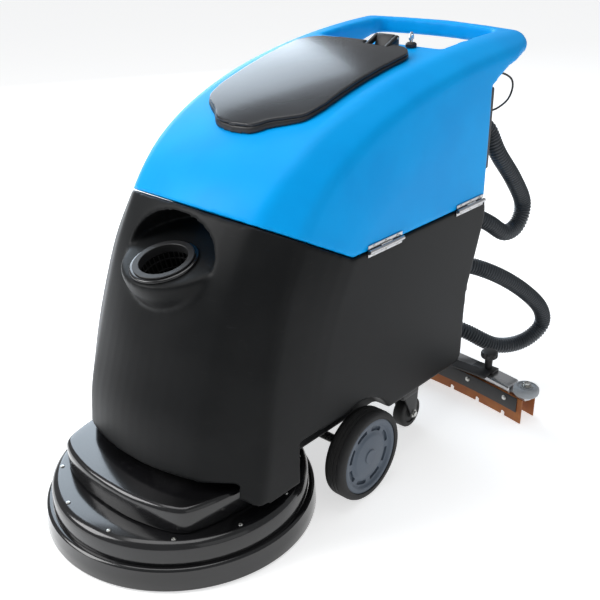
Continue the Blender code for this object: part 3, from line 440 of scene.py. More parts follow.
def group(name, *pieces):
    pick(*pieces)
    bpy.ops.object.join()
    piece = bpy.context.object
    piece.name = name
    return piece


def copies(piece, places):
    made = []
    for place in places:
        other = piece.copy()
        other.data = piece.data.copy()
        scene.collection.objects.link(other)
        other.data.transform(place)
        made.append(other)
    bpy.data.objects.remove(piece)
    return made


def moulded(piece, voxel, rounds):
    modify(piece, "REMESH", mode="VOXEL", voxel_size=voxel, adaptivity=0.0)
    modify(piece, "SMOOTH", factor=0.5, iterations=rounds)
    return piece


def trimmed(piece, limit):
    count = 2 * len(piece.data.polygons)
    print(piece.name, count, "triangles before trimming")
    if count > limit:
        modify(piece, "DECIMATE", ratio=limit / count)
    return piece


def ready(piece, body, look, *stoodFor, slot=None, angle=35):
    piece.data.transform(Matrix.Translation((0, -shiftY, 0)))
    piece.data.materials.clear()
    piece.data.materials.append(finishes[look])
    pick(piece)
    bpy.ops.object.shade_smooth_by_angle(angle=math.radians(angle))
    if body:
        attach(piece, body)
    if stoodFor:
        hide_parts(*stoodFor)
    return piece


def smoothLine(points, steps):
    line = []
    for i in range(len(points) - 1):
        p1, p2 = points[i], points[i + 1]
        p0 = points[i - 1] if i else [2 * a - b for a, b in zip(p1, p2)]
        p3 = points[i + 2] if i + 2 < len(points) else [2 * b - a for a, b in zip(p1, p2)]
        for k in range(steps):
            t = k / steps
            line.append([0.5 * (2 * b + (c - a) * t + (2 * a - 5 * b + 4 * c - d) * t ** 2
                + (3 * b - a - 3 * c + d) * t ** 3) for a, b, c, d in zip(p0, p1, p2, p3)])
    return line + [list(points[-1])]


def evenly(line, step):
    line = [Vector(p) for p in line]
    total = sum((b - a).length for a, b in zip(line, line[1:]))
    count = max(2, round(total / step))
    wanted = [total * i / count for i in range(count + 1)]
    made, walked, i = [], 0.0, 0
    for goal in wanted:
        while i < len(line) - 2 and walked + (line[i + 1] - line[i]).length < goal:
            walked += (line[i + 1] - line[i]).length
            i += 1
        length = (line[i + 1] - line[i]).length
        made.append(line[i].lerp(line[i + 1], min(1.0, (goal - walked) / length)))
    return made, total


def arc(centre, radius, start, end, count):
    angles = [math.radians(start + (end - start) * i / (count - 1)) for i in range(count)]
    return [(centre[0] + radius * math.cos(a), centre[1] + radius * math.sin(a)) for a in angles]


def mirrored(half):
    return half + [(-x, y) for x, y in reversed(half) if x > 0]


# ---- hoses and the cable, which come first
def sweep(name, line, radii, resolution=9):
    deselect()
    curve = bpy.data.curves.new(name, "CURVE")
    curve.dimensions = "3D"
    curve.bevel_depth = 1.0
    curve.bevel_resolution = resolution
    curve.use_fill_caps = True
    spline = curve.splines.new("POLY")
    spline.points.add(len(line) - 1)
    for point, place, radius in zip(spline.points, line, radii):
        point.co = (*place, 1)
        point.radius = radius
    piece = bpy.data.objects.new(name, curve)
    scene.collection.objects.link(piece)
    pick(piece)
    bpy.ops.object.convert(target="MESH")
    return tidyMesh(bpy.context.object)


def pipe(name, route, radius, steps, spacing, resolution):
    line = evenly(smoothLine(route, steps), spacing)[0]
    return sweep(name, line, [radius] * len(line), resolution)


hoseValues = {"crest": 0.0205, "valley": 0.0178, "pitch": 0.0072, "cuff": 0.022}
upperRoute = [(0.200, 0.7458, 0.690), (0.200, 0.757, 0.690), (0.200, 0.770, 0.688), (0.208, 0.789, 0.671),
              (0.222, 0.814, 0.618), (0.236, 0.873, 0.546), (0.240, 0.9255, 0.474), (0.238, 0.913, 0.422),
              (0.229, 0.869, 0.410), (0.212, 0.820, 0.443), (0.192, 0.780, 0.468), (0.190, 0.765, 0.470),
              (0.190, 0.753, 0.470), (0.190, 0.7410, 0.470)]
lowerRoute = [(0.150, 0.7330, 0.340), (0.150, 0.745, 0.340), (0.150, 0.757, 0.340), (0.185, 0.810, 0.327),
              (0.228, 0.875, 0.290), (0.262, 0.945, 0.235), (0.284, 1.000, 0.175), (0.284, 1.015, 0.120),
              (0.258, 0.970, 0.082), (0.218, 0.900, 0.085), (0.160, 0.846, 0.125), (0.085, 0.812, 0.152),
              (0.058, 0.806, 0.157), (0.044, 0.806, 0.157), (0.0320, 0.806, 0.157)]


def hose(name, route, node):
    crest, valley, pitch = hoseValues["crest"], hoseValues["valley"], hoseValues["pitch"]
    line, length = evenly(smoothLine(route, 12), pitch / 4)
    radii = []
    for i in range(len(line)):
        along = length * i / (len(line) - 1)
        wave = (valley, (valley + crest) / 2 + 0.0003, crest, (valley + crest) / 2 + 0.0003)[i % 4]
        plain = min(along, length - along) < hoseValues["cuff"]
        radii.append(crest - 0.0004 if plain else wave)
    piece = sweep(name, line, radii, 8)
    ready(piece, None, "hosePlastic", node, angle=60)
    line = [p - Vector((0, shiftY, 0)) for p in line]
    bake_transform(piece)
    print(name, round(length, 3))


hose("vacuumHose", upperRoute, "vacuum_hose")
hose("squeegeeHose", lowerRoute, "squeegee_hose")

cableRoute = [(0.236, 0.745, 0.807), (0.2415, 0.768, 0.808), (0.248, 0.796, 0.793), (0.249, 0.803, 0.772),
    (0.246, 0.791, 0.748), (0.238, 0.763, 0.733), (0.232, 0.735, 0.73)]
panelCable = pipe("panelCable", cableRoute, 0.0022, 8, 0.004, 4)
ready(panelCable, "tank", "trimPlastic", "panel_cable", slot="hose", angle=60)
print("hoses made")


# ---- moulded tanks
stations = [
    (-0.101, 0.175, -0.030, 0.122, 0.155, 0.028, 0.259),
    (-0.090, 0.260, -0.010, 0.238, 0.156, 0.030, 0.257),
    (-0.062, 0.345, 0.008, 0.338, 0.158, 0.031, 0.250), (-0.030, 0.435, 0.035, 0.430, 0.161, 0.031, 0.246),
    (0.012, 0.535, 0.070, 0.525, 0.165, 0.030, 0.241), (0.068, 0.630, 0.118, 0.608, 0.169, 0.027, 0.236),
    (0.110, 0.685, 0.156, 0.659, 0.172, 0.023, 0.236), (0.165, 0.731, 0.207, 0.705, 0.178, 0.017, 0.239),
    (0.235, 0.773, 0.276, 0.746, 0.180, 0.010, 0.241), (0.330, 0.808, 0.361, 0.783, 0.185, 0.004, 0.245),
    (0.453, 0.840, 0.470, 0.815, 0.189, 0.0, 0.249), (0.600, 0.864, 0.610, 0.840, 0.196, 0.0, 0.253),
    (0.770, 0.879, 0.775, 0.857, 0.205, 0.0, 0.257), (0.950, 0.885, 0.950, 0.863, 0.215, 0.0, 0.259),
]
shellValues = {"halfWidth": 0.26, "sideRun": 0.14, "crease": 0.016, "wall": 0.006, "rearWall": 0.702,
    "seamHeight": 0.545, "seamStart": 0.235, "seamSlope": 0.525, "seamGap": 0.002, "voxel": 0.0042,
    "rounds": 7, "triangles": 185000}
halfWidth, wall, rearWall = shellValues["halfWidth"], shellValues["wall"], shellValues["rearWall"]
seamHeight, seamGap = shellValues["seamHeight"], shellValues["seamGap"]


def roundCorners(points, radius):
    made = [points[0]]
    for before, here, after in zip(points, points[1:], points[2:]):
        if (before - here).angle(here - after, 0) < 0.09:
            made += [here] * 5
            continue
        start = here + (before - here).normalized() * min(radius, (before - here).length * 0.45)
        end = here + (after - here).normalized() * min(radius, (after - here).length * 0.45)
        for k in range(5):
            t = k / 4
            made.append(start * (1 - t) ** 2 + here * 2 * t * (1 - t) + end * t ** 2)
    return made + [points[-1]]


def section(rows, i, inset):
    row = rows[i]
    ahead, behind = rows[min(i + 1, len(rows) - 1)], rows[max(i - 1, 0)]

    def put(x, first, bulge, run):
        along = (Vector(ahead[first:first + 2]) - Vector(behind[first:first + 2])).normalized()
        spot = Vector(row[first:first + 2]) + Vector((along[1], -along[0])) * (inset + run)
        return Vector((x, spot[0] - bulge, max(spot[1], stations[0][3] + inset)))

    side = []
    for k in range(5):
        t = 1 - k / 4
        reach = row[6] + (halfWidth - row[6]) * (1 - (1 - t) ** 1.5) - inset
        side.append(put(reach, 2, 0, shellValues["sideRun"] * t))
    face = []
    for k in range(13):
        share = 1 - k / 6
        face.append(put(share * (row[4] - inset * 0.4), 0, row[5] * (1 - share ** 2), 0))
    other = [Vector((-p.x, p.y, p.z)) for p in reversed(side)]
    return side, face, other


def crossing(rows, i, inset, radius):
    side, face, other = section(rows, i, inset)
    corners = roundCorners([side[-2], side[-1], face[0], face[1]], radius)
    flipped = [Vector((-p.x, p.y, p.z)) for p in reversed(corners)]
    return side[:-2] + corners + face[2:-2] + flipped + other[2:]


def lofted(name, rings):
    count = len(rings[0])
    places = [place for ring in rings for place in ring]
    faces = []
    for c in range(len(rings) - 1):
        for i in range(count):
            j = (i + 1) % count
            faces.append((c * count + i, c * count + j, (c + 1) * count + j, (c + 1) * count + i))
    faces += [tuple(range(count)), tuple(range(len(places) - count, len(places)))]
    mesh = bpy.data.meshes.new(name)
    mesh.from_pydata(places, [], faces)
    piece = bpy.data.objects.new(name, mesh)
    scene.collection.objects.link(piece)
    tidyMesh(piece)
    return modify(piece, "TRIANGULATE")


def moulding(name, inset=0.0):
    rows = smoothLine(stations, 6)
    low = stations[0][3] + inset
    columns = [crossing(rows, i, inset, shellValues["crease"]) for i in range(len(rows))]
    rings = [[column[c] for column in columns] for c in range(len(columns[0]))]
    for ring in rings:
        ring += [Vector((ring[-1].x, stations[-1][0], low)), Vector((ring[0].x, 0.3, low))]
    return lofted(name, rings)


def topHeight(y, x=0.0):
    line = [(row[0] - row[5] * (1 - (x / row[4]) ** 2), row[1]) for row in smoothLine(stations, 8)]
    for (y0, z0), (y1, z1) in zip(line, line[1:]):
        if y0 <= y <= y1:
            return z0 + (z1 - z0) * (y - y0) / (y1 - y0)
    return line[-1][1]


def seam(offset, upper):
    front = -0.3
    climb = seamHeight + (shellValues["seamStart"] - front) * shellValues["seamSlope"]
    edge = [(front, climb + offset), (shellValues["seamStart"], seamHeight + offset),
        (1.1, seamHeight + offset)]
    rest = [(1.1, 1.2), (front, 1.2)] if upper else [(1.1, -0.1), (front, -0.1)]
    return extruded("seamCutter", edge + rest, "X", -0.5, 0.5)


fillerValues = {"centre": Vector((0.0, -0.006, 0.545)), "tilt": math.radians(16), "hole": 0.0565,
    "depth": 0.125, "voxel": 0.0036, "rounds": 9, "softRounds": 24}
fillerCentre, fillerTilt = fillerValues["centre"], fillerValues["tilt"]
fillerAxis = Vector((0, -math.sin(fillerTilt), math.cos(fillerTilt)))


def lowerBody():
    body = moulding("lowerBody")
    cut(body, seam(-seamGap / 2, True))
    rear = [(rearWall, 0.6), (0.712, 0.5), (0.656, 0.335), (0.652, 0.172), (0.64, 0.155), (0.64, 0.05),
        (1.1, 0.05), (1.1, 0.6)]
    cut(body, extruded("rearSlope", rear, "X", -0.5, 0.5), block("overDeck", (-0.221, -0.3, 0.05),
        (0.221, 0.122, 0.171)), block("behindDeck", (-0.4, 0.082, 0.05), (0.4, 0.8, 0.1584)))
    for side in (-1, 1):
        well = [(0.08, 0.05), (0.08, 0.214)] + arc((0.266, 0.0994), 0.118, 110, 20, 19) + [(0.384, 0.05)]
        low, high = sorted((side * 0.222, side * 0.4))
        cut(body, extruded("wheelWell", well, "X", low, high))
    pocket = [(0, 0.012), (0.118, 0.012), (0.12, 0.004), (0.118, -0.02), (0.098, -0.08), (0.066, -0.13),
        (0.03, -0.15), (0, -0.154)]
    join(body, spun("fillerPocket", pocket, (0, 0.04, fillerCentre.z), steps=96, tilt=fillerTilt))
    archLine = smoothLine([(0, 0.07), (0.04, 0.066), (0.078, 0.051), (0.105, 0.028), (0.116, 0.0)], 4)
    cut(body, spun("fillerArch", archLine + [(0, 0)], (0, 0.034, fillerCentre.z + 0.01), steps=96,
        tilt=fillerTilt))
    cut(body, rod("fillerHole", fillerCentre + fillerAxis * 0.06,
        fillerCentre - fillerAxis * fillerValues["depth"], fillerValues["hole"], sides=72),
        rod("motorPocket", (0, 0, 0.05), (0, 0, 0.352), 0.0765, sides=48),
        block("batteryBay", (-0.205, 0.125, 0.235), (0.205, 0.652, 0.52)),
        block("bayMouth", (-0.205, 0.158, 0.515), (0.205, 0.652, 0.7)))
    moulded(body, fillerValues["voxel"], fillerValues["rounds"])
    soft = body.vertex_groups.new(name="filler")
    for vertex in body.data.vertices:
        spot = vertex.co - fillerCentre
        away = (spot - fillerAxis * spot.dot(fillerAxis)).length
        if abs(vertex.co.x) < 0.145 and vertex.co.y < 0.09 and 0.4 < vertex.co.z < 0.68:
            soft.add([vertex.index], min(max((away - 0.068) / 0.02, 0), 1), "REPLACE")
    modify(body, "SMOOTH", factor=0.5, iterations=fillerValues["softRounds"], vertex_group="filler")
    trimmed(body, shellValues["triangles"])
    return ready(body, "chassis", "bodyPlastic", "lower_body", angle=60)


def lidOutline(grow):
    half = smoothLine([(0.0, 0.18), (0.046, 0.187), (0.075, 0.209), (0.103, 0.226), (0.13, 0.248),
        (0.142, 0.29)], 6)
    half += arc((0.104, 0.527), 0.046, 0, 90, 12)
    points = []
    for x, y in half:
        length = math.hypot(x, y - 0.38)
        points.append((x * (1 + grow / length), 0.38 + (y - 0.38) * (1 + grow / length)))
    return mirrored([(max(x, 0), y) for x, y in points])


handleValues = {"rear": 0.925, "bar": 0.031, "half": 0.165, "console": 0.638, "rounds": 14}


def recoveryTank():
    barHalf, console = handleValues["half"], handleValues["console"]
    tank = moulding("recoveryTank")
    cut(tank, seam(seamGap / 2, False))
    under = [(rearWall, 0.2), (rearWall, 0.792), (0.77, 0.824), (0.86, 0.846), (1.1, 0.846), (1.1, 0.2)]
    cut(tank, extruded("underHandle", under, "X", -0.5, 0.5))
    corner = arc((0.195, 0.835), 0.0555, 90, 10, 19)
    outside = [(0.45, 0.78), (halfWidth + 0.001, 0.78)] + corner[::-1]
    outside += [(0.12, 0.908), (0, handleValues["rear"])]
    outside += [(-x, y) for x, y in reversed(outside[:-1])] + [(-0.45, 1.1), (0.45, 1.1)]
    cut(tank, extruded("aroundHandle", outside, "Z", 0.7, 1.0))
    gapRear = handleValues["rear"] - handleValues["bar"]
    loop = [(barHalf, 0.715)] + arc((barHalf - 0.035, 0.838), 0.035, 0, 70, 14)
    loop += [(0.07, gapRear - 0.006), (0, gapRear)]
    cut(tank, extruded("handleGap", mirrored(loop), "Z", 0.7, 1.0))
    slope = [(console, 0.95), (console, 0.864), (0.654, 0.857), (0.7005, 0.797), (0.712, 0.78),
        (0.72, 0.95)]
    cut(tank, extruded("consoleSlope", slope, "X", 0.0005 - barHalf, barHalf - 0.0005))
    hollow = moulding("tankHollow", wall)
    cut(hollow, seam(seamGap / 2 + wall, False), block("behindHollow", (-0.5, rearWall - wall, 0),
        (0.5, 1.2, 1.2)))
    underSlope = [(console - wall, 0.95), (console - wall, 0.858), (0.649, 0.851), (0.697, 0.789),
        (0.72, 0.76), (0.72, 0.95)]
    cut(hollow, extruded("underSlope", underSlope, "X", -barHalf - wall, barHalf + wall))
    cut(tank, hollow)
    cut(tank, extruded("lidOpening", lidOutline(-0.016), "Z", 0.6, 1.0))
    moulded(tank, shellValues["voxel"], shellValues["rounds"])
    soft = tank.vertex_groups.new(name="handle")
    soft.add([v.index for v in tank.data.vertices if v.co.y > 0.72], 1.0, "REPLACE")
    modify(tank, "SMOOTH", factor=0.5, iterations=handleValues["rounds"], vertex_group="handle")
    trimmed(tank, shellValues["triangles"])
    return ready(tank, "tank", "bluePlastic", "recovery_tank", angle=60)


lowerBody()
print("lower body made")
recoveryTank()
print("recovery tank made")


def lidPieces():
    lidValues = {"half": 0.16, "low": 0.0012, "high": 0.0135, "crown": 0.007, "cap": 0.0062,
        "voxel": 0.0021, "rounds": 5, "triangles": 90000}
    pivot, hingeX = (0.594, 0.886), 0.055
    # lidBase (side wall and outer band) takes the darker copy of the lid plastic as painted shade; lidTop
    # takes the lit top colour
    for name, shrink, look in (("lidBase", 0.0, "lidShadedSide"), ("lidTop", -0.0015, "lidGloss")):
        xs = [-lidValues["half"] + 2 * lidValues["half"] * i / 32 for i in range(33)]
        ys = [0.155 + 0.44 * i / 60 for i in range(61)]
        rings = []
        for x in xs:
            rise = lidValues["high"] + lidValues["crown"] * (1 - (x / lidValues["half"]) ** 2)
            top, low = rise, lidValues["low"]
            if name == "lidBase":
                top = rise - lidValues["cap"]
            else:
                low = rise - lidValues["cap"] - 0.0002
            rings.append([(x, y, topHeight(y, x) + low) for y in ys] + [(x, y, topHeight(y, x) + top)
                for y in reversed(ys)])
        piece = lofted(name, rings)
        combine(piece, extruded("lidPlan", lidOutline(shrink), "Z", 0.5, 1.2), "INTERSECT")
        cut(piece, block("hingeNotch", (hingeX - 0.034, 0.553, 0.5), (hingeX + 0.034, 0.7, 1.2)))
        if name == "lidBase":
            for x in (hingeX - 0.0255, hingeX + 0.0255):
                ear = [(0.54, topHeight(0.54) + 0.004), (0.552, topHeight(0.55) + 0.006)]
                ear += arc(pivot, 0.0068, -100, 100, 13) + [(0.545, topHeight(0.54) + 0.0145)]
                join(piece, extruded("lidEar", ear, "X", x - 0.0045, x + 0.0045))
            cut(piece, rod("earBore", (0, *pivot), (0.12, *pivot), 0.0031, sides=20))
        moulded(piece, lidValues["voxel"], lidValues["rounds"])
        trimmed(piece, lidValues["triangles"])
        stoodFor = ["lid"] if name == "lidBase" else []
        ready(piece, "tank_lid", look, *stoodFor, angle=60)
    y, z = pivot
    base = [(0.5755, topHeight(0.5755) + tinyGap), (0.612, topHeight(0.612) + tinyGap), (0.612, z - 0.004)]
    base += arc(pivot, 0.0075, 10, 150, 12) + [(0.583, z - 0.006)]
    hingeBlock = rounded(extruded("lidHingeBlock", base, "X", hingeX - 0.0205, hingeX + 0.0205), 0.0012, 2)
    ready(hingeBlock, "tank", "trimPlastic", "lid_hinge_block")
    ready(rod("lidPin", (hingeX - 0.031, y, z), (hingeX + 0.031, y, z), 0.0028, rounding=0.0006), "tank",
        "zincBolt")


def fillerPieces():
    seat = fillerCentre + fillerAxis * 0.0036
    hole = fillerValues["hole"] - tinyGap
    lip = [(0.0675, -0.0045), (0.0675, -0.003), (0.0665, -0.0008), (0.0645, 0.0), (0.0555, 0.0),
        (0.0536, -0.001), (0.053, -0.003), (0.053, -0.022), (hole, -0.022), (hole, -0.0045)]
    ring = rounded(spun("fillerRing", lip, seat, steps=96, tilt=fillerTilt), 0.0006, 2, 50)
    ready(ring, "chassis", "deckGloss", "filler_ring", angle=50)
    rim = [(0.06, 0.0008), (0.06, 0.0028), (0.0592, 0.0035), (0.0485, 0.0035), (0.0475, 0.0028),
        (0.0475, -0.014), (0.0515, -0.014), (0.052, 0.0008)]
    parts = [spun("strainerRim", rim, steps=72)]
    for radius, height in ((0.05, -0.03), (0.0478, -0.05), (0.0456, -0.07), (0.043, -0.091)):
        hoop = [(radius, height), (radius, height + 0.002), (radius - 0.0026, height + 0.002),
            (radius - 0.0026, height)]
        parts.append(spun("strainerHoop", hoop, steps=72))
    rib = rod("strainerRib", (0.05, 0, -0.01), (0.0416, 0, -0.092), 0.0012, sides=8)
    parts += copies(rib, [Matrix.Rotation(turn * i / 30, 4, "Z") for i in range(30)])
    floorLine = [(0, -0.0945), (0.043, -0.0945), (0.0432, -0.0915), (0, -0.0915)]
    bottom = spun("strainerFloor", floorLine, steps=48)
    for radius, holes in ((0.013, 6), (0.024, 12), (0.034, 18)):
        for i in range(holes):
            spot = Matrix.Rotation(turn * i / holes, 3, "Z") @ Vector((radius, 0, 0))
            cut(bottom, rod("strainerHole", spot - Vector((0, 0, 0.1)), spot, 0.0028, sides=10))
    basket = group("fillerStrainer", bottom, *parts)
    basket.data.transform(Matrix.Translation(seat) @ Matrix.Rotation(fillerTilt, 4, "X"))
    ready(basket, "strainer", "trimPlastic", "filler_strainer")


panelValues = {"knob": (0.055, 0.7), "switches": (-0.155, -0.105)}


def panelPieces():
    knobX, knobZ = panelValues["knob"]
    y0, y1 = rearWall + tinyGap, rearWall + 0.032
    panel = block("controlPanel", (-0.246, y0, 0.604), (0.246, y1, 0.786), 0.006, 4)
    for x in panelValues["switches"]:
        cut(panel, block("switchRecess", (x - 0.0125, y1 - 0.01, 0.69), (x + 0.0125, y1 + 0.02, 0.73)))
    cut(panel, rod("knobBore", (knobX, y1 - 0.012, knobZ), (knobX, y1 + 0.02, knobZ), 0.0055),
        block("gaugeRecess", (-0.0405, y1 - 0.004, 0.6895), (0.0105, y1 + 0.02, 0.7305)))
    ready(panel, "tank", "trimPlastic", "control_panel", angle=40)
    gauge = block("batteryGauge", (-0.04, y1 - 0.0036, 0.69), (0.01, y1 + 0.0012, 0.73), 0.001)
    ready(gauge, "tank", "gaugeWindow", "battery_gauge")
    bars = [block("gaugeBar", (-0.034 + 0.008 * i, y1 + 0.001, 0.697), (-0.029 + 0.008 * i, y1 + 0.0016,
        0.706 + 0.0036 * i), 0.0002, 1) for i in range(5)]
    ready(group("gaugeBars", *bars), "tank", "markWhite", slot="gauge")
    for name, node, x, look in (("brush", "brush_switch", -0.155, "redPlastic"),
            ("vacuum", "vacuum_switch", -0.105, "trimPlastic")):
        outline = [(y1 - 0.0045, 0.7115), (y1 - 0.0035, 0.7255), (y1 + 0.0062, 0.7275),
            (y1 + 0.0035, 0.715), (y1 + 0.0025, 0.71), (y1 + 0.0035, 0.705), (y1 + 0.0062, 0.6925),
            (y1 - 0.0035, 0.6945), (y1 - 0.0045, 0.7085)]
        rocker = rounded(extruded(name + "Rocker", outline, "X", x - 0.0108, x + 0.0108), 0.0008, 2, 40)
        ready(rocker, name + "_rocker", look, node)
        z = 0.7205
        bar = block(name + "SignOn", (x - 0.0005, y1 + 0.0044, z - 0.003),
            (x + 0.0005, y1 + 0.0054, z + 0.003))
        dot = [(0.0032, -0.0003), (0.0032, 0.0004), (0.002, 0.0004), (0.002, -0.0003)]
        for sign in (bar, spun(name + "SignOff", dot, (x, y1 + 0.005, 0.6995), "Y", 24)):
            ready(sign, name + "_rocker", "markWhite", slot=slots[look])
        bezel = [block("bezelSide", (x + s * 0.015 - 0.002, y1 - 0.0004, 0.687),
            (x + s * 0.015 + 0.002, y1 + 0.0018, 0.733), 0.0006, 2) for s in (-1, 1)]
        bezel += [block("bezelEnd", (x - 0.0168, y1 - 0.0004, z - 0.0018),
            (x + 0.0168, y1 + 0.0018, z + 0.0018), 0.0006, 2) for z in (0.687, 0.733)]
        ready(group(name + "Bezel", *bezel), "tank", "trimPlastic")
    knob = rod("waterKnob", (knobX, y1 + tinyGap, knobZ), (knobX, y1 + 0.022, knobZ), 0.02, 0.017, 60,
        0.0015)
    join(knob, rod("knobStem", (knobX, y1 - 0.01, knobZ), (knobX, y1 + 0.01, knobZ), 0.005, sides=24))
    join(knob, block("knobGrip", (0.0515, y1 + 0.016, 0.682), (0.0585, y1 + 0.029, 0.718), 0.0015, 3))
    for i in range(18):
        spot = Matrix.Rotation(turn * i / 18, 3, "Y") @ Vector((0.0205, 0, 0))
        cut(knob, rod("knobFlute", spot + Vector((knobX, y1 - 0.002, knobZ)), spot * 0.86
            + Vector((knobX, y1 + 0.024, knobZ)), 0.0018, sides=10))
    ready(knob, "water_valve", "trimPlastic", "water_knob")
    ready(block("knobPointer", (0.0545, y1 + 0.0287, 0.706), (0.0555, y1 + 0.0292, 0.717)), "water_valve",
        "markWhite")
    for i, (x, z) in enumerate(((-0.232, 0.618), (0.232, 0.618), (-0.232, 0.772), (0.15, 0.772))):
        ready(screw(f"panelScrew{i + 1}", (x, y1 + 0.0001, z), "Y", 0.0048), "tank", "zincBolt")
    ticks = []
    for i in range(9):
        a = math.radians(-120 + 30 * i)
        centre = Vector((knobX + 0.0265 * math.sin(a), y1 + 0.0003, knobZ + 0.0265 * math.cos(a)))
        tick = block("dialTick", (-0.0005, -0.0004, -0.0022), (0.0005, 0.0003, 0.0022))
        tick.data.transform(Matrix.Translation(centre) @ Matrix.Rotation(a, 4, "Y"))
        ticks.append(tick)
    ready(group("waterDial", *ticks), "tank", "markWhite")


def screw(name, place, axis, radius):
    height = radius * 0.55
    outline = [(0, 0), (radius, 0), (radius, height * 0.45), (radius * 0.8, height * 0.85),
        (radius * 0.4, height), (0, height)]
    head = spun(name, outline, (0, 0, 0), "Z", 20)
    for a, b in ((radius * 0.75, radius * 0.11), (radius * 0.11, radius * 0.75)):
        cut(head, block("screwSlot", (-a, -b, height * 0.55), (a, b, height * 2)))
    return placed(head, place, axis)


def bolt(name, place, axis, radius, height):
    head = rod(name, (0, 0, 0.0012), (0, 0, height), radius, sides=6, rounding=radius * 0.08)
    head = group(name, head, rod("washer", (0, 0, 0), (0, 0, 0.0014), radius * 1.35, sides=32))
    return placed(head, place, axis)


keyPlace = (0.1, 0.621)


def keyPieces():
    x, y = keyPlace
    z = topHeight(y + 0.012) + tinyGap
    collar = [(0, 0), (0.012, 0), (0.012, 0.0055), (0.0105, 0.0075), (0.0085, 0.0088), (0.006, 0.009),
        (0, 0.009)]
    ready(spun("keyLock", collar, (x, y, z), steps=48), "tank", "trimPlastic", "key_lock")
    z += 0.009 + tinyGap
    key = [(y - 0.009, z + 0.0075), (y - 0.008, z + 0.0125), (y - 0.003, z + 0.0205), (y, z + 0.021),
        (y + 0.003, z + 0.0205), (y + 0.008, z + 0.0125), (y + 0.009, z + 0.0075), (y + 0.006, z + 0.0035),
        (y - 0.006, z + 0.0035)]
    bow = rounded(extruded("ignitionKey", key, "X", x - 0.0012, x + 0.0012), 0.0004, 2)
    cut(bow, rod("keyHole", (x - 0.01, y, z + 0.0155), (x + 0.01, y, z + 0.0155), 0.0022, sides=20))
    join(bow, rod("keyShank", (x, y, z), (x, y, z + 0.008), 0.0035, 0.0026, 24))
    ready(bow, "key", "zincBolt", "ignition_key")


def sideHinges():
    hingeX, hingeZ = 0.2655, 0.5465
    for name, start, end in (("front", 0.275, 0.385), ("rear", 0.585, 0.692)):
        for leaf, body in (("body", "chassis"), ("tank", "tank")):
            low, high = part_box(f"hinge_{name}_{leaf}")
            z0, z1 = (low.z, 0.5425) if leaf == "body" else (0.5508, high.z)
            piece = block(f"hinge{name.title()}{leaf.title()}", (halfWidth + tinyGap, start, z0),
                (halfWidth + 0.0024, end, z1), 0.0007, 2)
            third = (end - start) / 3
            spans = [(start, start + third - tinyGap), (end - third + tinyGap, end)]
            if leaf == "tank":
                spans = [(start + third + tinyGap, end - third - tinyGap)]
            for first, last in spans:
                knuckle = rod("knuckle", (hingeX, first, hingeZ), (hingeX, last, hingeZ), 0.0042, sides=28,
                    rounding=0.0005)
                tabLow, tabHigh = (0.541, hingeZ) if leaf == "body" else (hingeZ, 0.5525)
                join(piece, knuckle, block("tab", (halfWidth + 0.0006, first, tabLow),
                    (hingeX, last, tabHigh)))
            ready(piece, body, "brushedSteel", f"hinge_{name}_{leaf}")
            middle = (z0 + z1) / 2
            for i, y in enumerate((start + 0.016, (start + end) / 2, end - 0.016)):
                head = screw(f"hinge{name.title()}{leaf.title()}Screw{i + 1}",
                    (halfWidth + 0.0023, y, middle), "X", min(0.0036, (z1 - z0) * 0.36))
                ready(head, body, "zincBolt")


lidPieces()
fillerPieces()
panelPieces()
keyPieces()
sideHinges()
print("lid, filler, panel and hinges made")


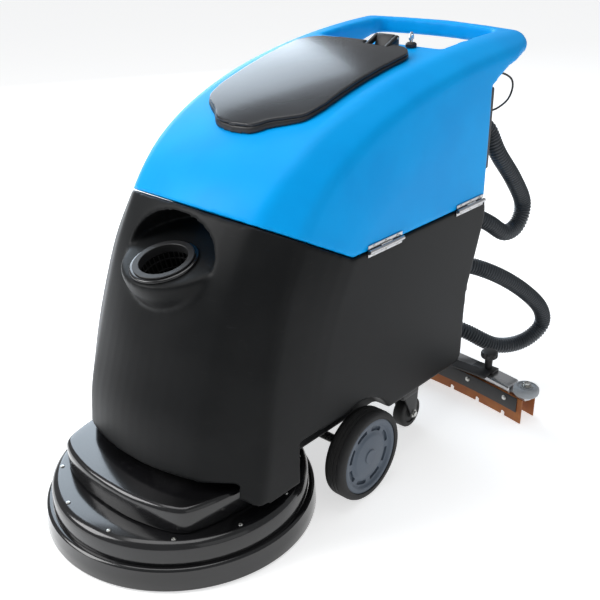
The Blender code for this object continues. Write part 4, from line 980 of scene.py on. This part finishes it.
# ---- deck and brush
def deckPieces():
    deckValues = {"top": 0.095, "tier": 0.15, "round": 0.012, "screws": 12}
    top = deckValues["top"]
    pan = [(0, top), (0.246, top), (0.252, top - 0.0012), (0.257, top - 0.004), (0.2605, top - 0.008),
        (0.2625, top - 0.014), (0.2639, 0.05), (0.2638, 0.0455), (0.259, 0.0455), (0.2565, top - 0.012),
        (0.25, top - 0.008), (0, top - 0.008)]
    housing = spun("deckHousing", pan, steps=160)
    half = smoothLine([(0, -0.193), (0.06, -0.19), (0.12, -0.178), (0.16, -0.163), (0.182, -0.145),
        (0.196, -0.108), (0.206, -0.06), (0.212, 0.0), (0.214, 0.075), (0.19, 0.115)], 4)
    tier = rounded(extruded("deckTier", mirrored(half), "Z", top - 0.004, deckValues["tier"]),
        deckValues["round"], 6, 50)
    join(housing, tier)
    cut(housing, rod("motorSeat", (0, 0, 0.04), (0, 0, 0.3), 0.0722, sides=64),
        extruded("underTier", mirrored([(x * 0.955, y * 0.955) for x, y in half]), "Z", 0.02, 0.144))
    ready(housing, "deck", "deckGloss", "deck_housing", angle=32)
    skirt = [(0.2645, 0.0495), (0.27, 0.0497), (0.2735, 0.0485), (0.2762, 0.0455), (0.2785, 0.026),
        (0.28, 0.007), (0.2795, 0.0045), (0.2775, 0.003), (0.27, 0.003), (0.2645, 0.043)]
    ready(spun("deckSkirt", skirt, steps=160), "deck", "deckGloss", "deck_skirt", angle=32)
    for i in range(deckValues["screws"]):
        a = turn * (i + 0.5) / deckValues["screws"]
        place = (0.244 * math.sin(a), -0.244 * math.cos(a), top - 0.0001)
        ready(screw(f"deckScrew{i + 1}", place, "Z", 0.0045), "deck", "zincBolt")
    brushBlock = [(0, 0.0581), (0.05, 0.0581), (0.23, 0.0528), (0.238, 0.0505), (0.24, 0.046),
        (0.238, 0.036), (0, 0.036)]
    ready(spun("brushBlock", brushBlock, steps=96), "brush", "brushWood", "brush_block")
    tuft = rod("tuft", (0, 0, 0.0357), (0, 0, 0.0003), 0.0044, 0.0066, 7)
    places = []
    for radius, count in ((0.103, 30), (0.123, 36), (0.143, 42), (0.163, 48), (0.183, 54), (0.203, 60),
            (0.223, 66)):
        for i in range(count):
            a = turn * (i + (radius * 500) % 1) / count
            lean = Matrix.Rotation(a, 4, "Z") @ Matrix.Translation((radius + 0.004, 0, 0))
            tiltOut = Matrix.Rotation(-math.radians(6 + 14 * (radius - 0.1)), 4, "Y")
            places.append(lean @ Matrix.Translation((0, 0, 0.0357)) @ tiltOut
                @ Matrix.Translation((0, 0, -0.0357)))
    tufts = group("brushBristles", *copies(tuft, places))
    ready(tufts, "brush", "brushNylon", "brush_bristles", angle=50)
    hub = [(0, 0.0585), (0.064, 0.0585), (0.0625, 0.069), (0.061, 0.07), (0.0215, 0.07), (0.02, 0.0715),
        (0.02, 0.083), (0.019, 0.084), (0, 0.084)]
    ready(spun("brushHub", hub, steps=48), "brush", "motorPaint", "brush_hub")
    shaft = [(0, 0.085), (0.05, 0.085), (0.0718, 0.092), (0.0718, 0.165), (0.07, 0.175), (0.062, 0.185)]
    for i in range(9):
        z = 0.19 + 0.012 * i
        shaft += [(0.062, z), (0.062, z + 0.007), (0.0585, z + 0.0075), (0.0585, z + 0.0115)]
    shaft += [(0.06, 0.3), (0.06, 0.31), (0.052, 0.318), (0, 0.318)]
    ready(spun("brushMotor", shaft, steps=56), "deck", "motorPaint", "brush_motor")


# ---- wheels and castors
def drivePieces():
    wheelValues = {"radius": 0.0994, "width": 0.048, "face": 0.292, "y": 0.266, "spokes": 8}
    r, w, y = wheelValues["radius"], wheelValues["width"] / 2, wheelValues["y"]
    for side, name in ((1, "left"), (-1, "right")):
        axis = "X" if side > 0 else "-X"
        centre = (side * (wheelValues["face"] - w), y, r)
        shoulder = [(0.0835, w - 0.0006), (0.0845, w), (0.0905, w), (0.0945, w - 0.001),
            (0.0972, w - 0.0035), (0.0988, w - 0.007), (r, w - 0.011)]
        tyre = list(shoulder)
        for groove in (0.009, 0.0, -0.009):
            tyre += [(r, groove + 0.0014), (r - 0.0016, groove + 0.0008), (r - 0.0016, groove - 0.0008),
                (r, groove - 0.0014)]
        tyre += [(radius, -height) for radius, height in reversed(shoulder)]
        ready(spun(f"{name}Tyre", tyre, centre, axis, 120), f"wheel_{name}", "tyreRubber", f"tyre_{name}",
            angle=50)
        rim = [(0, 0.0215), (0.044, 0.0208), (0.047, 0.02), (0.05, 0.0184), (0.053, 0.0168),
            (0.056, 0.0163), (0.0665, 0.0163), (0.0695, 0.0176), (0.0715, 0.0205), (0.0735, 0.022),
            (0.081, 0.022), (0.0828, 0.0212), (0.0831, 0.02), (0.0831, -0.0215), (0.074, 0.004),
            (0.028, 0.004), (0.026, -0.021), (0.0104, -0.021), (0.0104, 0.0045), (0, 0.0045)]
        disc = spun(f"{name}Rim", rim, (0, 0, 0), "Z", 96)
        for i in range(wheelValues["spokes"]):
            a0, a1 = 360 * i / wheelValues["spokes"] + 7, 360 * (i + 1) / wheelValues["spokes"] - 7
            window = arc((0, 0), 0.065, a0, a1, 8) + arc((0, 0), 0.056, a1, a0, 8)
            cut(disc, rounded(extruded("window", window, "Z", 0.01, 0.03), 0.0022, 3, 60))
        ready(placed(disc, centre, axis), f"wheel_{name}", "rimPlastic", f"rim_{name}", angle=40)
        cap = [(0, 0.0214), (0.0165, 0.0211), (0.0165, 0.0225), (0.015, 0.0236), (0, 0.0238)]
        ready(spun(f"{name}HubCap", cap, centre, axis, 48), f"wheel_{name}", "rimPlastic")
    for side, name in ((1, "left"), (-1, "right")):
        castor(side, name)


def castor(side, name):
    castorValues = {"x": 0.186, "y": 0.518, "trail": 0.028, "radius": 0.0385}
    x, y = side * castorValues["x"], castorValues["y"]
    trail, r = castorValues["trail"], castorValues["radius"]
    fork = spun(f"{name}CastorFork", [(0, 0.1085), (0.0215, 0.1085), (0.025, 0.113), (0.0278, 0.119),
        (0.028, 0.1215), (0.0265, 0.1262), (0.025, 0.127), (0, 0.127)], (x, y, 0), steps=56)
    join(fork, block("forkCrown", (x - 0.0225, y - 0.02, 0.092), (x + 0.0225, y + trail + 0.016, 0.11),
        0.004, 3))
    for leg in (-1, 1):
        low, high = sorted((x + leg * 0.0165, x + leg * 0.0215))
        line = [(y - 0.018, 0.108), (y + trail + 0.015, 0.108)] + arc((y + trail, r), 0.0125, 20, -200, 20)
        join(fork, rounded(extruded("forkLeg", line, "X", low, high), 0.001, 2, 50))
    ready(fork, f"castor_{name}", "blackSteel", f"castor_fork_{name}")
    axle = rod(f"{name}CastorBolt", (x - 0.025, y + trail, r), (x + 0.025, y + trail, r), 0.004, sides=24)
    ready(axle, f"castor_{name}", "zincBolt")
    for end, axis in ((1, "X"), (-1, "-X")):
        label = "Nut" if end > 0 else "Head"
        ready(bolt(f"{name}Castor{label}", (x + end * 0.0214, y + trail, r), axis, 0.007, 0.0061),
            f"castor_{name}", "zincBolt")
    tread = [(0.0046, 0.015), (0.012, 0.015), (0.0125, 0.0125), (0.025, 0.0115), (0.0262, 0.0145),
        (r - 0.006, 0.0145), (r - 0.002, 0.013), (r - 0.0005, 0.0105), (r, 0.008)]
    tread += [(radius, -height) for radius, height in reversed(tread)]
    ready(spun(f"{name}CastorWheel", tread, (x, y + trail, r), "X", 72), f"castor_roll_{name}",
        "softRubber", f"castor_wheel_{name}", angle=40)


deckPieces()
print("deck and brush made")
drivePieces()
print("wheels and castors made")


# ---- squeegee
squeegeeValues = {"y": 0.8, "half": 0.4, "bow": 0.3, "rollerX": 0.386, "knobX": 0.268, "steps": 48}


def bowLine(x, offset=0.0):
    return squeegeeValues["y"] + offset - squeegeeValues["bow"] * x * x


def bowed(name, half, offset, thick, low, high):
    xs = [half * (2 * i / squeegeeValues["steps"] - 1) for i in range(squeegeeValues["steps"] + 1)]
    outline = [(x, bowLine(x, offset) - thick / 2) for x in xs]
    outline += [(x, bowLine(x, offset) + thick / 2) for x in reversed(xs)]
    return extruded(name, outline, "Z", low, high)


def squeegeePieces():
    rollerX, knobX = squeegeeValues["rollerX"], squeegeeValues["knobX"]
    rollerY = bowLine(rollerX)
    channel = rounded(bowed("squeegeeChannel", 0.35, 0, 0.05, 0.05, 0.078), 0.004, 3, 60)
    cut(channel, bowed("waterChannel", 0.335, 0, 0.034, 0.04, 0.068))
    for side in (-1, 1):
        join(channel, block("rollerArm", (side * 0.363 - 0.023, rollerY - 0.012, 0.056),
            (side * 0.363 + 0.023, rollerY + 0.012, 0.066), 0.001, 2),
            rod("rollerPad", (side * rollerX, rollerY, 0.0565), (side * rollerX, rollerY, 0.0655), 0.015,
            rounding=0.001))
        cut(channel, rod("rollerBore", (side * rollerX, rollerY, 0), (side * rollerX, rollerY, 0.1),
            0.0043), rod("knobBore", (side * knobX, bowLine(knobX), 0.04),
            (side * knobX, bowLine(knobX), 0.1), 0.0052))
    cut(channel, rod("nozzleBore", (0, bowLine(0), 0.04), (0, bowLine(0), 0.1), 0.0205))
    ready(channel, "squeegee", "brushedSteel", "squeegee_body", angle=40)
    for name, half, offset, node in (("frontBlade", 0.394, -0.0275, "front_blade"),
            ("rearBlade", 0.4, 0.0275, "rear_blade")):
        blade = rounded(bowed(name, half, offset, 0.004, 0.0, 0.064), 0.0005, 2, 60)
        if name == "frontBlade":
            for x in (-0.34, -0.26, -0.18, -0.1, 0.1, 0.18, 0.26, 0.34):
                y = bowLine(x, offset)
                notch = [(x - 0.006, -0.01), (x - 0.006, 0.009)]
                notch += [(x - a, b) for a, b in arc((0, 0.009), 0.003, 0, 180, 8)[1:-1]]
                notch += [(x + 0.006, 0.009), (x + 0.006, -0.01)]
                cut(blade, extruded("bladeNotch", notch, "Y", y - 0.01, y + 0.01))
        ready(blade, "squeegee", "bladeRubber", node, angle=40)
    for name, offset, node, face in (("frontStrap", -0.031, "front_strap", -1),
            ("rearStrap", 0.031, "rear_strap", 1)):
        strap = rounded(bowed(name, 0.38, offset, 0.0022, 0.026, 0.0635), 0.0005, 2, 60)
        ready(strap, "squeegee", "blackSteel", node, angle=40)
        for i in range(7):
            x = -0.342 + 0.114 * i
            slope = math.atan(2 * squeegeeValues["bow"] * x)
            head = bolt("strapBolt", (0, 0, 0), "Y" if face > 0 else "-Y", 0.0045, 0.0042)
            head.data.transform(Matrix.Translation((x, bowLine(x, offset + face * 0.001), 0.05))
                @ Matrix.Rotation(-slope, 4, "Z"))
            head.name = f"{name}Bolt{i + 1}"
            ready(head, "squeegee", "zincBolt")
    y, z = lowerRoute[-1][1:]
    bend = [(0, bowLine(0), 0.085), (0, bowLine(0) + 0.002, 0.115), (0.001, y, 0.143),
        (0.009, y, z - 0.002), (0.02, y, z), (0.0314, y, z)]
    nozzle = pipe("suctionNozzle", bend, 0.0213, 8, 0.003, 12)
    join(nozzle, rod("nozzleFlange", (0, bowLine(0), 0.0785), (0, bowLine(0), 0.09), 0.03, rounding=0.002),
        rod("nozzleSpigot", (0, bowLine(0), 0.058), (0, bowLine(0), 0.085), 0.02))
    ready(nozzle, "squeegee", "trimPlastic", "suction_nozzle", angle=45)


def squeegeeArm():
    pivotY, pivotZ = 0.64, 0.14
    knobX = squeegeeValues["knobX"]
    beamY = bowLine(knobX)
    arm = block("squeegeeArm", (-0.285, beamY - 0.045, 0.079), (0.285, beamY - 0.013, 0.086), 0.0015, 2)
    for side in (-1, 1):
        join(arm, block("clampPad", (side * 0.26 - 0.03, beamY - 0.015, 0.0785),
            (side * 0.26 + 0.03, beamY + 0.015, 0.0865), 0.0012, 2))
        low, high = sorted((side * 0.084, side * 0.092))
        bar = arc((pivotY, pivotZ), 0.013, 60, 260, 24) + [(beamY - 0.045, 0.08), (beamY - 0.02, 0.08),
            (beamY - 0.02, 0.096)]
        join(arm, rounded(extruded("armBar", bar, "X", low, high), 0.0008, 2, 60))
        cut(arm, rod("clampBore", (side * knobX, beamY, 0.05), (side * knobX, beamY, 0.12), 0.0052))
    cut(arm, rod("pivotBore", (-0.2, pivotY, pivotZ), (0.2, pivotY, pivotZ), 0.0064))
    ready(arm, "squeegee", "blackSteel", "squeegee_arm", angle=40)
    for name, side in (("left", 1), ("right", -1)):
        x = side * knobX
        knob = spun(f"{name}ClampKnob", [(0, -0.024), (0.0048, -0.024), (0.0048, 0.0), (0.009, 0.0),
            (0.01, 0.026), (0.018, 0.029), (0.0205, 0.031), (0.021, 0.034), (0.021, 0.041),
            (0.0195, 0.0445), (0.017, 0.0458), (0, 0.046)], steps=60)
        for i in range(8):
            spot = Matrix.Rotation(turn * i / 8, 3, "Z") @ Vector((0.0225, 0, 0))
            cut(knob, rod("knobScallop", spot + Vector((0, 0, 0.02)), spot + Vector((0, 0, 0.06)), 0.0042,
                sides=20))
        ready(placed(knob, (x, beamY, 0.0869)), f"clamp_{name}", "trimPlastic", f"clamp_knob_{name}",
            angle=40)
        x, y = side * squeegeeValues["rollerX"], bowLine(squeegeeValues["rollerX"])
        tread = [(0.005, 0.0), (0.015, 0.0), (0.016, 0.002), (0.022, 0.002), (0.023, 0.0), (0.0275, 0.0012),
            (0.0302, 0.0045), (0.031, 0.0085), (0.031, 0.0135), (0.0302, 0.0175), (0.0275, 0.0208),
            (0.023, 0.022), (0.0222, 0.0195), (0.016, 0.0195), (0.015, 0.022), (0.005, 0.022)]
        ready(spun(f"{name}Bumper", tread, (x, y, 0.0668), steps=72), f"bumper_{name}", "rollerGrey",
            f"bumper_roller_{name}", angle=40)
        stem = [(0, -0.018), (0.004, -0.018), (0.004, 0.023), (0.012, 0.023), (0.012, 0.0243), (0, 0.0243)]
        head = rod("boltHead", (0, 0, 0.0243), (0, 0, 0.032), 0.0085, sides=6, rounding=0.0006)
        head = group(f"{name}RollerBolt", spun("boltStem", stem, steps=32), head)
        ready(placed(head, (x, y, 0.0668)), "squeegee", "zincBolt", f"roller_bolt_{name}")


# ---- back of the machine
backValues = {"leverPivot": (-0.15, 0.71, 0.42), "pedalPivot": (0.61, 0.128)}


def backPieces():
    y1 = rearWall + 0.032
    cuff = [(0, 0), (0.026, 0), (0.026, 0.0018), (0.0245, 0.003), (0.0245, 0.008), (0.026, 0.009),
        (0.026, 0.0105), (0.0252, 0.0108), (0, 0.0108)]
    ready(spun("tankOutlet", cuff, (0.2, y1 + tinyGap, 0.69), "Y", 64), "tank", "trimPlastic",
        "tank_outlet", angle=40)
    coupler = block("hoseCoupler", (0.118, 0.713, 0.3), (0.222, 0.726, 0.51), 0.004, 4)
    for (x, y, z), end in ((upperRoute[-1], 0.7404), (lowerRoute[0], 0.7324)):
        join(coupler, rod("socket", (x, 0.72, z), (x, end, z), 0.026, sides=64, rounding=0.0012))
    foot = [(0.6566, 0.32), (0.6568, 0.335), (0.7018, 0.467), (0.715, 0.467), (0.715, 0.32)]
    join(coupler, extruded("couplerFoot", foot, "X", 0.135, 0.205))
    ready(coupler, "chassis", "trimPlastic", "hose_coupler", angle=40)
    for i, (x, z) in enumerate(((0.13, 0.312), (0.21, 0.312), (0.13, 0.498), (0.21, 0.42))):
        ready(screw(f"couplerScrew{i + 1}", (x, 0.726, z), "Y", 0.0042), "chassis", "zincBolt")
    for i, (x, z) in enumerate(((0.236, 0.807), (0.232, 0.73))):
        gland = [(0.0024, 0), (0.0075, 0), (0.0075, 0.004), (0.0055, 0.0055), (0.0045, 0.01),
            (0.0024, 0.0105)]
        y = 0.745 - 0.0108 if i == 0 else y1
        ready(spun(f"cableGland{i + 1}", gland, (x, y, z), "Y", 36), "tank", "trimPlastic")
    x, y, z = backValues["leverPivot"]
    lever = pipe("leverRod", [(x, y, z), (x, y + 0.02, z + 0.05), (x, y + 0.048, z + 0.09)], 0.006, 10,
        0.004, 8)
    join(lever, rod("leverBoss", (x - 0.009, y, z), (x + 0.009, y, z), 0.0125, rounding=0.001))
    cut(lever, rod("bossBore", (x - 0.05, y, z), (x + 0.05, y, z), 0.0052))
    ready(lever, "lever", "zincBolt", "squeegee_lever")
    aim = Vector((0, 0.038, 0.055)).normalized()
    grip = [(0, 0), (0.0085, 0), (0.0105, 0.002), (0.0115, 0.008)]
    for i in range(7):
        grip += [(0.0115, 0.01 + 0.007 * i), (0.0106, 0.012 + 0.007 * i), (0.0106, 0.014 + 0.007 * i),
            (0.0115, 0.016 + 0.007 * i)]
    grip += [(0.0115, 0.06), (0.01, 0.065), (0.006, 0.0668), (0, 0.0668)]
    handle = spun("leverGrip", grip, steps=48)
    handle.data.transform(Matrix.Translation((x, y + 0.044, z + 0.083))
        @ aim.to_track_quat("Z", "X").to_matrix().to_4x4())
    ready(handle, "lever", "softRubber", slot="black_trim", angle=40)
    bracket = block("leverBracket", (x - 0.024, 0.7045, z - 0.03), (x - 0.01, 0.718, z + 0.055), 0.0015, 2)
    footLine = [(0.6905, 0.4305), (0.7085, 0.48), (0.712, 0.48), (0.712, 0.4305)]
    join(bracket, extruded("bracketFoot", footLine, "X", x - 0.04, x - 0.012))
    join(bracket, rod("leverPin", (x - 0.02, y, z), (x + 0.013, y, z), 0.0048))
    ready(bracket, "chassis", "blackSteel", "lever_bracket", angle=40)
    y, z = backValues["pedalPivot"]
    pedal = pipe("pedalArm", [(-0.235, y, z), (-0.235, y + 0.05, z + 0.012), (-0.235, y + 0.1, z + 0.036)],
        0.007, 10, 0.004, 8)
    join(pedal, rod("pedalBoss", (-0.249, y, z), (-0.221, y, z), 0.012, rounding=0.001))
    cut(pedal, rod("bossBore", (-0.3, y, z), (-0.2, y, z), 0.0062))
    ready(pedal, "pedal", "blackSteel", "lift_pedal")
    pad = block("pedalPad", (-0.262, y + 0.082, z + 0.036), (-0.208, y + 0.122, z + 0.05), 0.004, 3)
    for i in range(5):
        cut(pad, block("padGroove", (-0.255, y + 0.0875 + 0.0065 * i, z + 0.0485),
            (-0.215, y + 0.09 + 0.0065 * i, z + 0.06)))
    ready(pad, "pedal", "softRubber", angle=40)


def insidePieces():
    for name, lowX, highX in (("left", 0.006, 0.18), ("right", -0.18, -0.006)):
        case = block(f"{name}Battery", (lowX, 0.135, 0.2354), (highX, 0.465, 0.436), 0.005, 3)
        lid = block("batteryLid", (lowX + 0.001, 0.136, 0.43), (highX - 0.001, 0.464, 0.45), 0.003, 3)
        case = join(case, lid)
        for i in range(6):
            y = 0.19 + 0.044 * i
            x = (lowX + highX) / 2
            join(case, rod("fillCap", (x, y, 0.448), (x, y, 0.4535), 0.0105, sides=24, rounding=0.001))
        for i in range(9):
            y = 0.16 + 0.035 * i
            join(case, block("caseRib", (lowX - 0.0012, y, 0.26), (highX + 0.0012, y + 0.006, 0.4), 0.0005,
                1))
        ready(case, "chassis", "batteryCase", f"battery_{name}", angle=40)
        for y in (0.165, 0.435):
            x = (lowX + highX) / 2
            ready(rod(f"{name}Terminal{int(y * 1000)}", (x, y, 0.449), (x, y, 0.465), 0.009, 0.0082,
                rounding=0.001), "chassis", "zincBolt")
    motor = [(0, 0), (0.05, 0), (0.055, 0.004), (0.055, 0.095), (0.0635, 0.1)]
    for i in range(5):
        z = 0.103 + 0.009 * i
        motor += [(0.064, z), (0.064, z + 0.005), (0.06, z + 0.0055), (0.06, z + 0.0085)]
    motor += [(0.062, 0.15), (0.036, 0.155), (0.032, 0.175), (0, 0.175)]
    ready(spun("vacuumMotor", motor, (-0.11, 0.57, 0.2354), "Z", 56), "chassis", "motorPaint",
        "vacuum_motor", angle=40)
    low = seamHeight + seamGap / 2 + wall + tinyGap
    x, y = -0.12, 0.6
    cage = [spun("cageCap", [(0, 0.73), (0.0375, 0.73), (0.038, 0.732), (0.038, 0.794), (0.034, 0.8),
        (0, 0.8)], (x, y, 0), steps=40), spun("cageFoot", [(0, low), (0.036, low), (0.036, low + 0.004),
        (0.02, low + 0.006), (0, low + 0.006)], (x, y, 0), steps=40)]
    bar = rod("cageBar", (0.018, 0, low + 0.005), (0.018, 0, 0.731), 0.002, sides=12)
    cage += copies(bar, [Matrix.Translation((x, y, 0)) @ Matrix.Rotation(turn * i / 10, 4, "Z")
        for i in range(10)])
    ready(group("floatCage", *cage), "tank", "trimPlastic", "float_cage", angle=40)
    ball = spun("floatBall", arc((0, 0.64), 0.015, -90, 90, 24), (x, y, 0), steps=40)
    ready(ball, "tank", "markWhite", angle=60)


squeegeePieces()
squeegeeArm()
print("squeegee made")
backPieces()
insidePieces()
print("back and inside made")

for node, look in (("chassis_frame", "blackSteel"), ("wheel_axle_left", "zincBolt"),
        ("wheel_axle_right", "zincBolt")):
    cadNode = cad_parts[node]
    for socket in cadNode.material_slots:
        socket.material = finishes[look]
